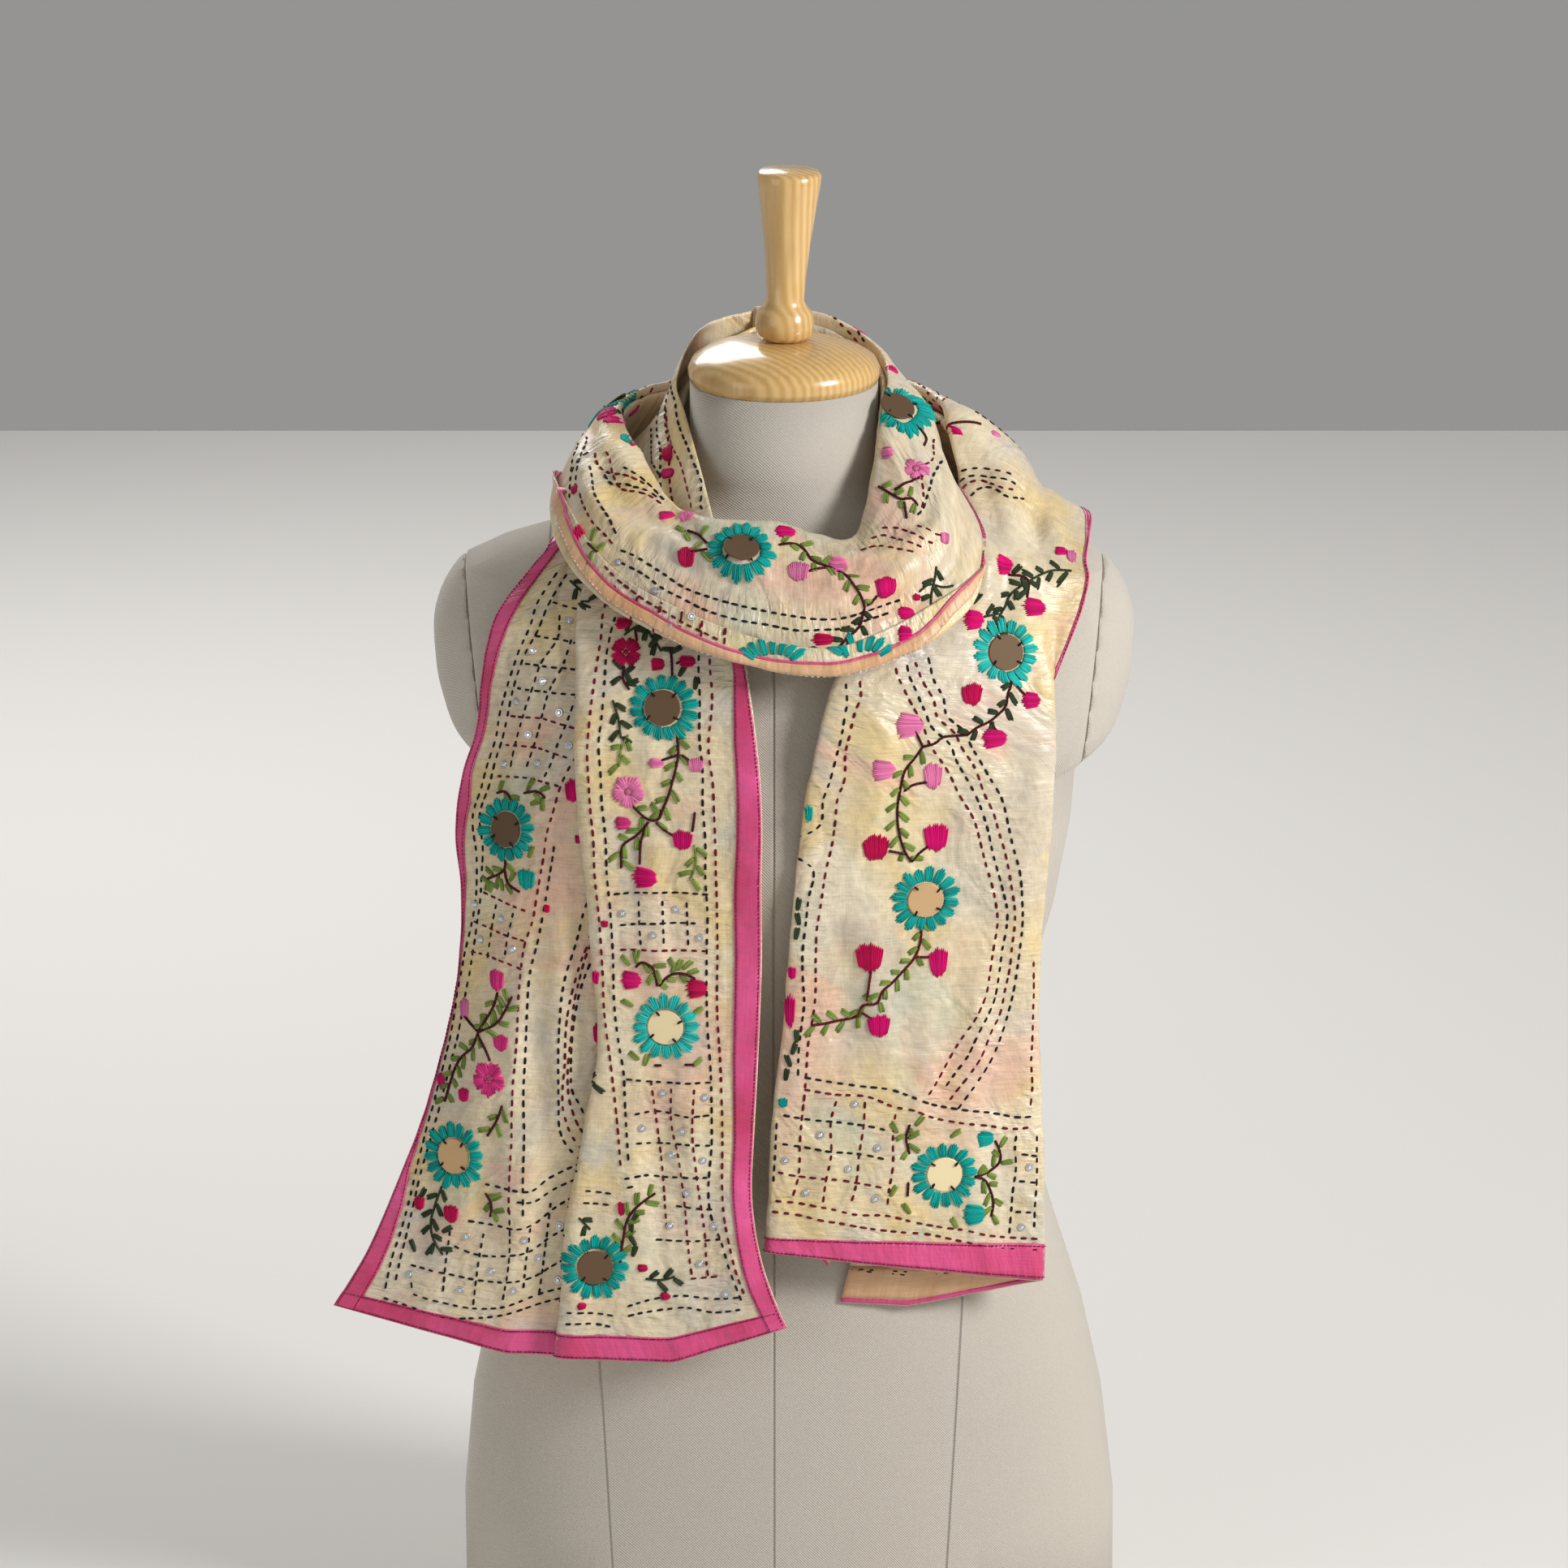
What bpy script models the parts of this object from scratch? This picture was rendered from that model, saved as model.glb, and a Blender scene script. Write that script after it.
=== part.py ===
"""Embroidered stole wound once and a half round the neck of a limbless dress form.

The stole is one long cloth. It rises from its left end over the wearer's right shoulder,
passes behind the neck, crosses the chest as a cowl, passes behind again, and falls over the
other shoulder. Seen from the front, left means -X. Front faces -Y, and the form stands on z = 0.
"""
from math import atan2, cos, pi, radians, sin

import bmesh
import bpy
import numpy as np
from mathutils import Matrix, Vector
from mathutils.bvhtree import BVHTree

MM = 0.001
SEAM_GAP = 0.3
CLOTH_SEAM_GAP = 0.5
WALL = 1.0
BORDER_WIDTH = 17.5
BORDER_INSET = 0.8
BORDERED_ROWS = 17
BORDER_WALL = 1.0
BORDER_GAP = 0.9
FACING_WIDTH = 11.5
STATION_PITCH = 27.0
FOLD_GAP = 3.0
BODY_CLEARANCE = 2.4
CLOTH_CLEARANCE = 3.2
LAYER_PITCH = 1.9
REACH = 90.0
RAY_SHARES = (0.0, 0.25, 0.5, 0.75, 1.0)
LIFT_ROUNDS = 3

# Sections of the padded body, in millimetres.
# height, half width, front depth, back depth, centre x, squareness of the outline
FORM_SECTIONS = (
    (0, 194, 105, 118, 3.5, 2.25),
    (78, 194, 104, 118, 3.0, 2.25),
    (145, 187, 100, 114, 2.0, 2.25),
    (201, 175, 95, 104, 1.5, 2.2),
    (262, 156, 88, 91, 1.0, 2.15),
    (313, 142, 84, 83, 0.5, 2.1),
    (348, 138, 84, 80, 0.0, 2.1),
    (384, 143, 90, 82, 0.0, 2.15),
    (416, 150, 98, 86, 0.0, 2.2),
    (448, 159, 107, 92, 0.0, 2.25),
    (498, 168, 115, 98, 0.0, 2.3),
    (532, 170.5, 113, 101, 0.0, 2.35),
    (538, 178, 112, 102, 0.0, 2.35),
    (545, 187, 110, 102, 0.0, 2.35),
    (556, 195, 107, 103, 0.0, 2.4),
    (585, 203, 101, 103, 0.0, 2.4),
    (619, 205, 88, 98, 0.0, 2.4),
    (637, 199, 77, 91, 0.0, 2.35),
    (650, 190, 67, 83, 0.0, 2.3),
    (661, 168, 61, 75, 0.0, 2.2),
    (672, 130, 57, 68, 0.0, 2.1),
    (683, 94, 54, 61, 0.0, 2.05),
    (694, 64, 53, 56, 0.0, 2.0),
    (706, 55, 53, 54, 0.0, 2.0),
    (757, 54.4, 54.4, 54.4, 0.0, 2.0),
)
FORM_SEGMENTS = 44
# The cut that parts each arm stump from the body: x at two heights
STUMP_CUT_HIGH = (185.0, 655.0)
STUMP_CUT_LOW = (171.5, 537.0)
STUMP_BOX = (60.0, 260.0, 160.0)

# Turned wood on the neck: radius and height, from the foot up
NECK_CAP_PROFILE = (
    (54.0, 757.3), (55.5, 761.0), (55.6, 766.0), (53.0, 771.0), (45.0, 776.0),
    (32.0, 780.0), (18.0, 781.5), (0.0, 781.5),
)
FINIAL_PROFILE = (
    (13.0, 782.3), (16.2, 785.3), (17.0, 791.5), (16.2, 798.0), (12.6, 802.0), (10.9, 805.5),
    (11.6, 820.0), (13.6, 840.0), (16.2, 860.0), (18.2, 874.0), (18.6, 879.0), (16.8, 881.0),
    (0.0, 881.6),
)
FINIAL_LEAN = 1.9
TURNED_STEPS = 32

# Each section of the stole is a folded strip: hem edge, foot fold, face up to the rim fold,
# then inner legs down to a dip, up to a crest and down to the other edge.

# Left fall, from its hem up. rim and foot are points; the other columns are
# bulge of the back layer, flap angle and width of the outer part beyond the foot, lift of its
# edge, depth of the dip, place of the free edge (less than 0 is past the rim), lift of that
# edge, and the pitch of the layers, which is negative because they stack outwards
LEFT_FALL = (
    # rim x, y, z         foot x, y, z        bulge flap width lift  dip  edge  lift pitch
    ((-86, -112, 199), (-159, -110, 201), 0, -11, 104, 22, 45, -88, 24, -5),
    ((-61, -112, 254), (-160, -110, 256), 0, -16, 84, 2, 64, -49, 6, -5),
    ((-46, -112, 297), (-158, -109, 300), 0, -21, 71, -4, 74, -28, 0, -5),
    ((-29, -112, 352), (-157, -108, 350), 0, -28, 55, 0, 82, -13, 0, -5),
    ((-19, -112, 394), (-154, -107, 393), 0, -36, 50, -3, 85, -5, 0, -5),
    ((-20, -113, 445), (-147, -106, 441), 0, -36, 50, -8, 88, -8, 0, -5),
    ((-22, -117, 488), (-139, -107, 490), 2, -31, 55, -14, 89, -10, 0, -5),
    ((-28, -118, 530), (-131, -106, 528), 4, -27, 67, -3, 87, -17, 0, -5),
    ((-22, -112, 574), (-119, -99, 572), 4, -25, 66, 0, 95, -8, 0, -5),
    ((-26, -99, 614), (-122, -87, 612), 4, -20, 54, -2, 90, -6, 0, -5),
    ((-36, -80, 650), (-127, -66, 643), 3, -10, 37, -6, 80, -9, 0, -4),
    ((-46, -62, 681), (-119, -46, 664), 2, 0, 30, -6, 60, -10, 0, -3.5),
)

# Rings round the neck. The turn is the angle gone round the neck seen from above: 90 is the
# left shoulder, 180 behind, 270 the right shoulder and 360 the front.
# Columns: turn, rim radius and height, bulge of the face, foot radius and height,
# flap angle and width of the hem beyond the foot, lean of the inner legs from upright,
# dip, crest and edge as lengths down those legs, and the pitch of the layers
LEFT_SHOULDER_RINGS = (
    (74, 62, 713, 0, 112, 682, 0, 26, 58, 45, 15, -20, -3),
    (90, 61, 724, 0, 107, 689, 0, 24, 50, 42, 12, -18, -3),
    (108, 60, 742, 0, 100, 694, 0, 20, 40, 42, 12, -16, -3),
    (128, 60, 756, 0, 92, 696, 0, 14, 28, 48, 14, -16, -3),
    (146, 60, 766, 0, 86, 695, 0, 12, 20, 56, 20, -12, -3),
    (164.4, 60, 774, 0, 82, 694, 0, 12, 14, 62, 26, -8, -3),
)
WRAP_RINGS = (
    (165, 68, 785, 2, 84, 694, 0, 12, 10, 66, 6, 60, 3.0),
    (185, 69, 784, 2, 84, 692, 0, 12, 10, 68, 6, 62, 3.0),
    (205, 67, 780, 2, 84, 692, 0, 12, 10, 66, 6, 60, 2.8),
    (225, 65, 774, 3, 85, 694, 0, 12, 9, 60, 6, 56, 2.6),
    (245, 63.5, 768, 6, 88, 697, 0, 14, 8, 55, 6, 50, 2.3),
    (262, 62.5, 763, 10, 87, 700, -70, 6, 6, 50, 6, 46, 2.2),
    (276, 62.5, 757, 11, 91, 703, -60, 4, 6, 45, 6, 42, 2.2),
    (290, 64, 750, 9, 104, 695, -10, 4, 10, 42, 6, 38, 2.3),
    (301, 68, 740, 8, 123, 672, 40, 6, 18, 42, 6, 38, 2.6),
    (310, 73, 727, 8, 135, 649, 150, 10, 26, 44, 6, 40, 3.0),
    (319, 80, 711, 8, 138, 634, 163, 17, 28, 46, 6, 42, 3.6),
    (327, 87, 697, 8, 138, 629, 163, 17, 31, 44, 6, 40, 4.0),
    (336, 94, 682, 7, 136, 622, 163, 16, 32, 44, 6, 40, 4.6),
    (346, 93, 684, 7, 134, 618, 163, 14, 32, 50, 6, 46, 5.0),
    (360, 88, 692, 7, 131, 620, 163, 14, 31, 66, 6, 60, 5.5),
    (375, 89, 692, 7, 133, 628, 163, 15, 32, 60, 6, 54, 5.5),
    (389, 90, 690, 8, 134, 636, 163, 17, 35, 50, 6, 46, 5.0),
    (400, 87, 692, 9, 138, 645, 163, 17, 40, 42, 5, 38, 4.0),
    (410, 85, 697, 10, 142, 657, 163, 17, 46, 36, 4, 32, 3.0),
    (421, 84, 706, 11, 143, 671, 163, 17, 50, 32, 2, 30, 2.4),
    (433, 86, 714, 11, 139, 688, 155, 13, 53, 30, 2, 28, 2.2),
    (444, 91, 725, 9, 131, 700, 100, 6, 50, 26, 2, 24, 2.2),
    (455, 97, 736, 7, 124, 702, 20, 7, 42, 26, 2, 24, 2.2),
    (470, 97, 740, 7, 122, 690, 0, 16, 32, 32, 2, 28, 2.4),
    (490, 92, 742, 6, 121, 662, 0, 26, 22, 50, 4, 44, 2.8),
    (512, 89, 743, 5, 119, 638, 0, 28, 15, 70, 6, 62, 4.0),
    (540, 88, 744, 5, 117, 622, 0, 28, 15, 80, 6, 70, 4.0),
    (568, 89, 744, 6, 120, 628, 0, 28, 16, 76, 6, 66, 4.0),
    (590, 92, 743, 8, 130, 645, 0, 28, 22, 66, 6, 58, 4.0),
    (608, 96, 741, 9, 144, 668, 0, 28, 34, 52, 6, 46, 4.0),
    (622, 98, 736, 10, 150, 690, 0, 28, 46, 40, 8, 34, 3.5),
    (634, 102, 709, 9, 149, 687, 0, 28, 58, 38, 14, 40, 2.5),
    (645, 107, 687, 6, 150, 673, 0, 28, 68, 42, 37, 46, 2.0),
)

# The face of the cowl is puffed out above a crease on its right-hand side.
# turn, height of the puff, and its crease as a share of the face up from the foot
COWL_PUFF = (
    (292, 0, 0.30), (303, 6, 0.30), (318, 9, 0.36), (330, 9, 0.42), (345, 7, 0.42), (358, 3, 0.32),
    (370, 0, 0.25),
)
PUFF_EDGE = 0.12

# Right fall, from the shoulder down. The flap is the outer band, folded behind lower down, and
# the other columns are the same as the left fall's
RIGHT_FALL = (
    # rim x, y, z       foot x, y, z       bulge flap width lift  dip  edge  lift pitch
    ((88, -70, 678), (146, -60, 664), 4, 0, 28, 0, 46, 56, 0, 2.5),
    ((60, -93, 652), (145, -73, 640), 4, -4, 24, 0, 55, 80, 0, 4),
    ((34, -112, 614), (152, -84, 604), 4, -70, 8, 0, 65, 95, 0, 4),
    ((26, -118, 592), (154, -90, 588), 4, -140, 14, 0, 66, 96, 0, 4),
    ((20, -121, 567), (154, -93, 565), 5, -170, 40, 0, 62, 88, 0, 4),
    ((16, -122, 546), (153, -95, 547), 5, -171, 52, 0, 58, 80, 0, 4),
    ((10, -121, 502), (151, -96, 500), 5, -172, 64, 0, 52, 72, 0, 4),
    ((5, -120, 446), (147, -94, 447), 5, -172, 72, 0, 46, 64, 0, 4),
    ((1, -118, 395), (146, -92, 394), 5, -172, 80, 0, 42, 58, 0, 4),
    ((-4, -118, 352), (148, -93, 349), 5, -172, 90, 0, 38, 54, 0, 4),
    ((-7, -118, 292), (150, -95, 297), 5, -172, 104, -4, 32, 46, -4, 4),
    ((-9, -118, 266), (150, -96, 241), 5, -172, 118, -10, 24, 36, -6, 4),
)

# How many steps each part of a section has: line, fold, line and so on from hem to edge
HEM_STEPS = 3
FACE_STEPS = 8
LEG_STEPS = 3
CAP_STEPS = 4

# Which layer each part of a section is in, counted from the body out: at the hem, at the foot,
# in the middle of the face, at the rim, on the three legs, and at the other edge
LEFT_LAYERS = (0, 0, 0, 0, 1, 2, 2, 2)
WRAP_LAYERS = (0, 0.5, 2.5, 3, 2, 1, 0, 0)
COWL_LAYERS = (4.4, 3, 3, 3, 2, 1, 0, 0)
RIGHT_LAYERS = (0, 1.6, 2, 2, 1, 1, 1, 1)

UP = np.array((0.0, 0.0, 1.0))


def unit(vector):
    return vector / np.linalg.norm(vector)


def hermite(knots, values, places):
    """Smooth curve through the values (a row for each knot), read at the places."""
    knots = np.asarray(knots, float)
    values = np.asarray(values, float)
    steps = np.diff(knots)
    slopes = np.diff(values, axis=0) / steps.reshape((-1,) + (1,) * (values.ndim - 1))
    tangents = np.empty_like(values)
    tangents[0] = slopes[0]
    tangents[-1] = slopes[-1]
    for i in range(1, len(knots) - 1):
        before, after = steps[i - 1], steps[i]
        tangents[i] = (slopes[i - 1] * after + slopes[i] * before) / (before + after)
    index = np.clip(np.searchsorted(knots, places, side="right") - 1, 0, len(steps) - 1)
    shape = (-1,) + (1,) * (values.ndim - 1)
    u = ((places - knots[index]) / steps[index]).reshape(shape)
    h = steps[index].reshape(shape)
    return ((2 * u**3 - 3 * u**2 + 1) * values[index] + (u**3 - 2 * u**2 + u) * h * tangents[index]
            + (3 * u**2 - 2 * u**3) * values[index + 1] + (u**3 - u**2) * h * tangents[index + 1])


def line(start, end, steps):
    """Points from start up to, but without, end."""
    return [start + (end - start) * k / steps for k in range(steps)]


def fold(start, way_in, end, way_out, steps):
    """A rounded turn from start to end, both included."""
    turn = np.dot(way_in, way_out) < 0
    if not turn:
        start = start - 2.0 * way_in
        end = end + 2.0 * way_out
    handle = (0.67 if turn else 0.35) * np.linalg.norm(end - start)
    a, b, c, d = start, start + handle * way_in, end - handle * way_out, end
    places = np.linspace(0, 1, steps + 1)
    curve = [(1 - u)**3 * a + 3 * u * (1 - u)**2 * b + 3 * u * u * (1 - u) * c + u**3 * d for u in places]
    return curve


def folded_section(rim, foot, outward, leg_way, leg_outward, bulge, flap, hem_width, hem_lift,
                   dip, crest, edge, edge_lift, gaps, puff=0.0, puff_place=0.5):
    """The points of one section, from the hem edge to the other edge."""
    down = unit(foot - rim)
    outward = unit(outward - np.dot(outward, down) * down)
    angle = radians(flap)
    foot_gap = FOLD_GAP * min(1, (hem_width + 3) / 15)
    foot_out = foot + foot_gap * (cos(angle / 2) * down + sin(angle / 2) * outward)
    hem_way = cos(angle) * down + sin(angle) * outward
    hem = foot_out + hem_width * hem_way + hem_lift * UP
    crown = (rim + foot) / 2 + 2 * bulge * outward
    at_rim = rim - gaps[0] * leg_outward
    at_dip = at_rim + dip * leg_way
    past_dip = at_dip - gaps[1] * leg_outward
    at_crest = at_rim - gaps[1] * leg_outward + crest * leg_way
    past_crest = at_crest - gaps[2] * leg_outward
    last = at_rim - (gaps[1] + gaps[2]) * leg_outward + edge * leg_way + edge_lift * UP
    foot_fold = fold(foot_out, unit(foot_out - hem), foot, unit(crown - foot), CAP_STEPS)
    rim_fold = fold(rim, unit(rim - crown), at_rim, unit(at_dip - at_rim), CAP_STEPS)
    dip_fold = fold(at_dip, unit(at_dip - at_rim), past_dip, unit(at_crest - past_dip), CAP_STEPS)
    crest_fold = fold(at_crest, unit(at_crest - past_dip), past_crest, unit(last - past_crest), CAP_STEPS)
    face = [(1 - u)**2 * foot_fold[-1] + 2 * u * (1 - u) * crown + u * u * rim_fold[0]
            + puff * puff_shape(u, puff_place) * outward
            for u in np.linspace(0, 1, FACE_STEPS + 1)[1:-1]]
    points = line(hem, foot_fold[0], HEM_STEPS) + foot_fold + face + rim_fold[:-1]
    points += line(rim_fold[-1], dip_fold[0], LEG_STEPS) + dip_fold[:-1]
    points += line(dip_fold[-1], crest_fold[0], LEG_STEPS) + crest_fold[:-1]
    points += line(crest_fold[-1], last, LEG_STEPS) + [last]
    return np.array(points)


def layered(points, layers, outward):
    """Each point with its layer and the row's outward direction beside it."""
    hem, foot, middle, rim, leg_1, leg_2, leg_3, edge = layers
    steps = (0, HEM_STEPS, CAP_STEPS, FACE_STEPS / 2, FACE_STEPS / 2, CAP_STEPS, LEG_STEPS - 1,
             CAP_STEPS + 1, LEG_STEPS - 1, CAP_STEPS + 1, LEG_STEPS - 1)
    places = np.cumsum(steps)
    values = (hem, hem, foot, middle, rim, leg_1, leg_1, leg_2, leg_2, leg_3, edge)
    layer = np.interp(np.arange(len(points)), places, values)
    way = np.tile(unit(outward), (len(points), 1))
    return np.column_stack((points, layer, way))


def puff_shape(u, place):
    """Height of the puff, from the foot (0) to the rim (1): a quick rise, then a slow fall."""
    rise = min(1, max(0, (u - place) / PUFF_EDGE + 0.5))
    fall = min(1, (1 - u) / (1 - place))
    return rise * rise * (3 - 2 * rise) * fall ** 0.6


def ring_section(row):
    """A section in the upright half plane at one turn round the neck."""
    turn, rim_r, rim_z, bulge, foot_r, foot_z, flap, width, lean, dip, crest, edge, pitch = row
    away = np.array((-sin(radians(turn)), -cos(radians(turn)), 0.0))
    rim = rim_r * away + rim_z * UP
    foot = foot_r * away + foot_z * UP
    leg_way = sin(radians(lean)) * away - cos(radians(lean)) * UP
    leg_outward = cos(radians(lean)) * away + sin(radians(lean)) * UP
    puff_turns, puffs, creases = zip(*COWL_PUFF)
    points = folded_section(rim, foot, away + UP, leg_way, leg_outward, bulge, flap, width, 0.0,
                            dip, crest, edge, 0.0, (pitch, pitch, pitch),
                            np.interp(turn, puff_turns, puffs), np.interp(turn, puff_turns, creases))
    layers = LEFT_LAYERS if pitch < 0 else COWL_LAYERS if flap > 90 else WRAP_LAYERS
    return layered(points, layers, away + UP)


def fall_section(row, outward, gap_shares):
    """A section of a hanging end, across the front of the body."""
    rim, foot, bulge, flap, width, hem_lift, dip, edge, edge_lift, pitch = row
    rim = np.array(rim, float)
    foot = np.array(foot, float)
    way = unit(foot - rim)
    leg_outward = unit(outward - np.dot(outward, way) * way)
    gaps = tuple(pitch * share for share in gap_shares)
    points = folded_section(rim, foot, outward, way, leg_outward, bulge, flap, width, hem_lift,
                            dip, (dip + edge) / 2, edge, edge_lift, gaps)
    return layered(points, LEFT_LAYERS if pitch < 0 else RIGHT_LAYERS, outward)


FRONT = np.array((0.0, -1.0, 0.15))
LEFT_GAPS = (1.0, 1.0, 0.1)
RIGHT_GAPS = (1.0, 0.2, 0.2)


def resampled(sections, pitch):
    """Sections at an even spacing along the cloth, and the place of each given section."""
    sections = np.array(sections)
    steps = np.linalg.norm(np.diff(sections[:, :, :3], axis=0), axis=2).mean(axis=1)
    places = np.concatenate(((0.0,), np.cumsum(steps)))
    count = max(2, round(places[-1] / pitch))
    return hermite(places, sections, np.linspace(0, places[-1], count + 1)), places


def grid_mesh(name, rows):
    """A grid of triangles over the rows, in metres."""
    mesh = bpy.data.meshes.new(name)
    count, across = rows.shape[:2]
    points = (rows[:, :, :3].reshape(-1, 3) * MM).tolist()
    faces = []
    for i in range(count - 1):
        for j in range(across - 1):
            a = i * across + j
            faces.append((a, a + 1, a + across + 1))
            faces.append((a, a + across + 1, a + across))
    mesh.from_pydata(points, [], faces)
    mesh.update()
    return mesh


def material(name, color, roughness, sheen=0.0):
    made = bpy.data.materials.new(name)
    made.use_nodes = True
    shader = made.node_tree.nodes["Principled BSDF"]
    shader.inputs["Base Color"].default_value = (*color, 1.0)
    shader.inputs["Roughness"].default_value = roughness
    shader.inputs["Sheen Weight"].default_value = sheen
    return made


def add_object(name, mesh, finish, collection):
    made = bpy.data.objects.new(name, mesh)
    mesh.materials.append(finish)
    collection.objects.link(made)
    return made


def sheet_normals(rows):
    """The way each point of a sheet faces, on the side its hem-to-foot part turns outwards."""
    points = rows[:, :, :3]
    along_way = np.gradient(points, axis=0)
    across_way = np.gradient(points, axis=1)
    across_way /= np.maximum(np.linalg.norm(across_way, axis=2, keepdims=True), 1e-6)
    normals = np.cross(across_way, along_way)
    return normals / np.maximum(np.linalg.norm(normals, axis=2, keepdims=True), 1e-6)


def cloth_object(name, rows, finish, collection, wall=WALL):
    """A stretch of cloth: an open sheet with a wall."""
    made = add_object(name, grid_mesh(name, rows), finish, collection)
    thickness = made.modifiers.new("wall", "SOLIDIFY")
    thickness.thickness = wall * MM
    thickness.offset = 0.0
    return made


def form_outline(section):
    """One closed horizontal section of the body, as points."""
    height, half_width, front, back, centre, square = section
    points = []
    for k in range(FORM_SEGMENTS):
        angle = 2 * pi * k / FORM_SEGMENTS
        x = abs(cos(angle)) ** (2 / square) * (1 if cos(angle) >= 0 else -1)
        y = abs(sin(angle)) ** (2 / square) * (1 if sin(angle) >= 0 else -1)
        depth = back if y > 0 else front
        points.append((centre + half_width * x, depth * y, height))
    return points


def form_body():
    """The whole padded body with its stumps, as a closed bmesh."""
    body = bmesh.new()
    rings = []
    for section in FORM_SECTIONS:
        rings.append([body.verts.new(Vector(point) * MM) for point in form_outline(section)])
    for low, high in zip(rings, rings[1:]):
        for k in range(FORM_SEGMENTS):
            after = (k + 1) % FORM_SEGMENTS
            body.faces.new((low[k], low[after], high[after], high[k]))
    body.faces.new(list(reversed(rings[0])))
    body.faces.new(rings[-1])
    return body


def stump_cutter(name, side, inset, cutters):
    """A box beyond the seam of one arm stump, its inner face leaning along the seam."""
    (x_high, z_high), (x_low, z_low) = STUMP_CUT_HIGH, STUMP_CUT_LOW
    lean = atan2(x_high - x_low, z_high - z_low)
    width, depth, height = STUMP_BOX
    bpy.ops.mesh.primitive_cube_add(size=1)
    cutter = bpy.context.object
    cutter.name = name
    cutter.data.transform(Matrix.Diagonal((width * MM, depth * MM, height * MM, 1.0)))
    cutter.data.transform(Matrix.Translation(Vector((side * (width / 2 + inset), 0, height / 2 + inset)) * MM))
    cutter.data.transform(Matrix.Rotation(side * lean, 4, "Y"))
    cutter.location = (side * x_low * MM, 0, z_low * MM)
    cutter.hide_render = True
    cutter.display_type = "WIRE"
    for holder in list(cutter.users_collection):
        holder.objects.unlink(cutter)
    cutters.objects.link(cutter)
    return cutter


def cut_by(made, cutter, operation):
    cut = made.modifiers.new(operation.lower(), "BOOLEAN")
    cut.operation = operation
    cut.object = cutter


def finished_mesh(name, body):
    bmesh.ops.triangulate(body, faces=[face for face in body.faces if len(face.verts) > 4])
    bmesh.ops.recalc_face_normals(body, faces=body.faces)
    mesh = bpy.data.meshes.new(name)
    body.to_mesh(mesh)
    body.free()
    mesh.shade_smooth()
    mesh.set_sharp_from_angle(angle=radians(40))
    return mesh


def build_form(linen, wood, collection, cutters):
    """The body, its two stumps, and the wood on its neck. Returns a tree of the whole body."""
    torso = add_object("form_torso", finished_mesh("form_torso", form_body()), linen, collection)
    whole = bmesh.new()
    whole.from_mesh(torso.data)
    tree = BVHTree.FromBMesh(whole)
    whole.free()
    for side, hand in ((-1, "left"), (1, "right")):
        name = f"arm_stump_{hand}"
        stump = add_object(name, torso.data.copy(), linen, collection)
        cut_by(torso, stump_cutter(f"{name}_room", side, -SEAM_GAP / 2, cutters), "DIFFERENCE")
        cut_by(stump, stump_cutter(f"{name}_cutter", side, SEAM_GAP / 2, cutters), "INTERSECT")
    turned("neck_cap", NECK_CAP_PROFILE, wood, collection)
    finial = turned("finial", FINIAL_PROFILE, wood, collection)
    lean_finial(finial)
    return tree


def turned(name, profile, finish, collection):
    """A turned piece: its profile with a Screw modifier."""
    mesh = bpy.data.meshes.new(name)
    points = [(radius * MM, 0, height * MM) for radius, height in reversed(profile)]
    points.append((0, 0, profile[0][1] * MM))
    mesh.from_pydata(points, [(k, k + 1) for k in range(len(points) - 1)], [])
    made = add_object(name, mesh, finish, collection)
    screw = made.modifiers.new("turn", "SCREW")
    screw.steps = TURNED_STEPS
    screw.render_steps = TURNED_STEPS
    screw.use_merge_vertices = True
    screw.merge_threshold = 0.00001
    screw.use_smooth_shade = True
    return made


def lean_finial(finial):
    """Tilt the handle about the foot of its collar."""
    foot = FINIAL_PROFILE[0][1] * MM
    for vert in finial.data.vertices:
        vert.co.z -= foot
    finial.location = (0, 0, foot)
    finial.rotation_euler = (0, radians(FINIAL_LEAN), 0)


def cloth_tree(rows):
    """A tree of one sheet, for laying another over it."""
    sheet = bmesh.new()
    mesh = grid_mesh("under", rows)
    sheet.from_mesh(mesh)
    tree = BVHTree.FromBMesh(sheet)
    sheet.free()
    bpy.data.meshes.remove(mesh)
    return tree


def laid_over(rows, tree, clearance, first=0, last=None):
    """Move points outwards until each layer of the rows is clear of what lies under them.

    The room is measured on a grid of rays inside each square of the sheet, and the lift is
    evened out along the cloth.
    """
    short = np.zeros(rows.shape[:2])
    for i in range(first, len(rows) - 1 if last is None else last):
        for j in range(rows.shape[1] - 1):
            corners = rows[i:i + 2, j:j + 2]
            for u in RAY_SHARES:
                for v in RAY_SHARES:
                    spot = ((1 - u) * (1 - v) * corners[0, 0] + (1 - u) * v * corners[0, 1]
                            + u * (1 - v) * corners[1, 0] + u * v * corners[1, 1])
                    point = Vector(spot[:3] * MM)
                    outward = Vector(spot[4:]).normalized()
                    start = point + REACH * MM * outward
                    found = tree.ray_cast(start, -outward, 2 * REACH * MM)[0]
                    if found is not None:
                        need = (found - point).dot(outward) / MM + clearance + LAYER_PITCH * spot[3]
                        near = short[i:i + 2, j:j + 2]
                        weights = np.outer((1 - u, u), (1 - v, v)) > 0
                        near[weights] = np.maximum(near[weights], need)
    for _ in range(LIFT_ROUNDS):
        evened = np.maximum(short[1:-1], (short[:-2] + short[2:]) / 2)
        short[first + 1:-1] = evened[first:]
    laid = rows.copy()
    laid[:, :, :3] += short[:, :, None] * rows[:, :, 4:]
    return laid


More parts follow.
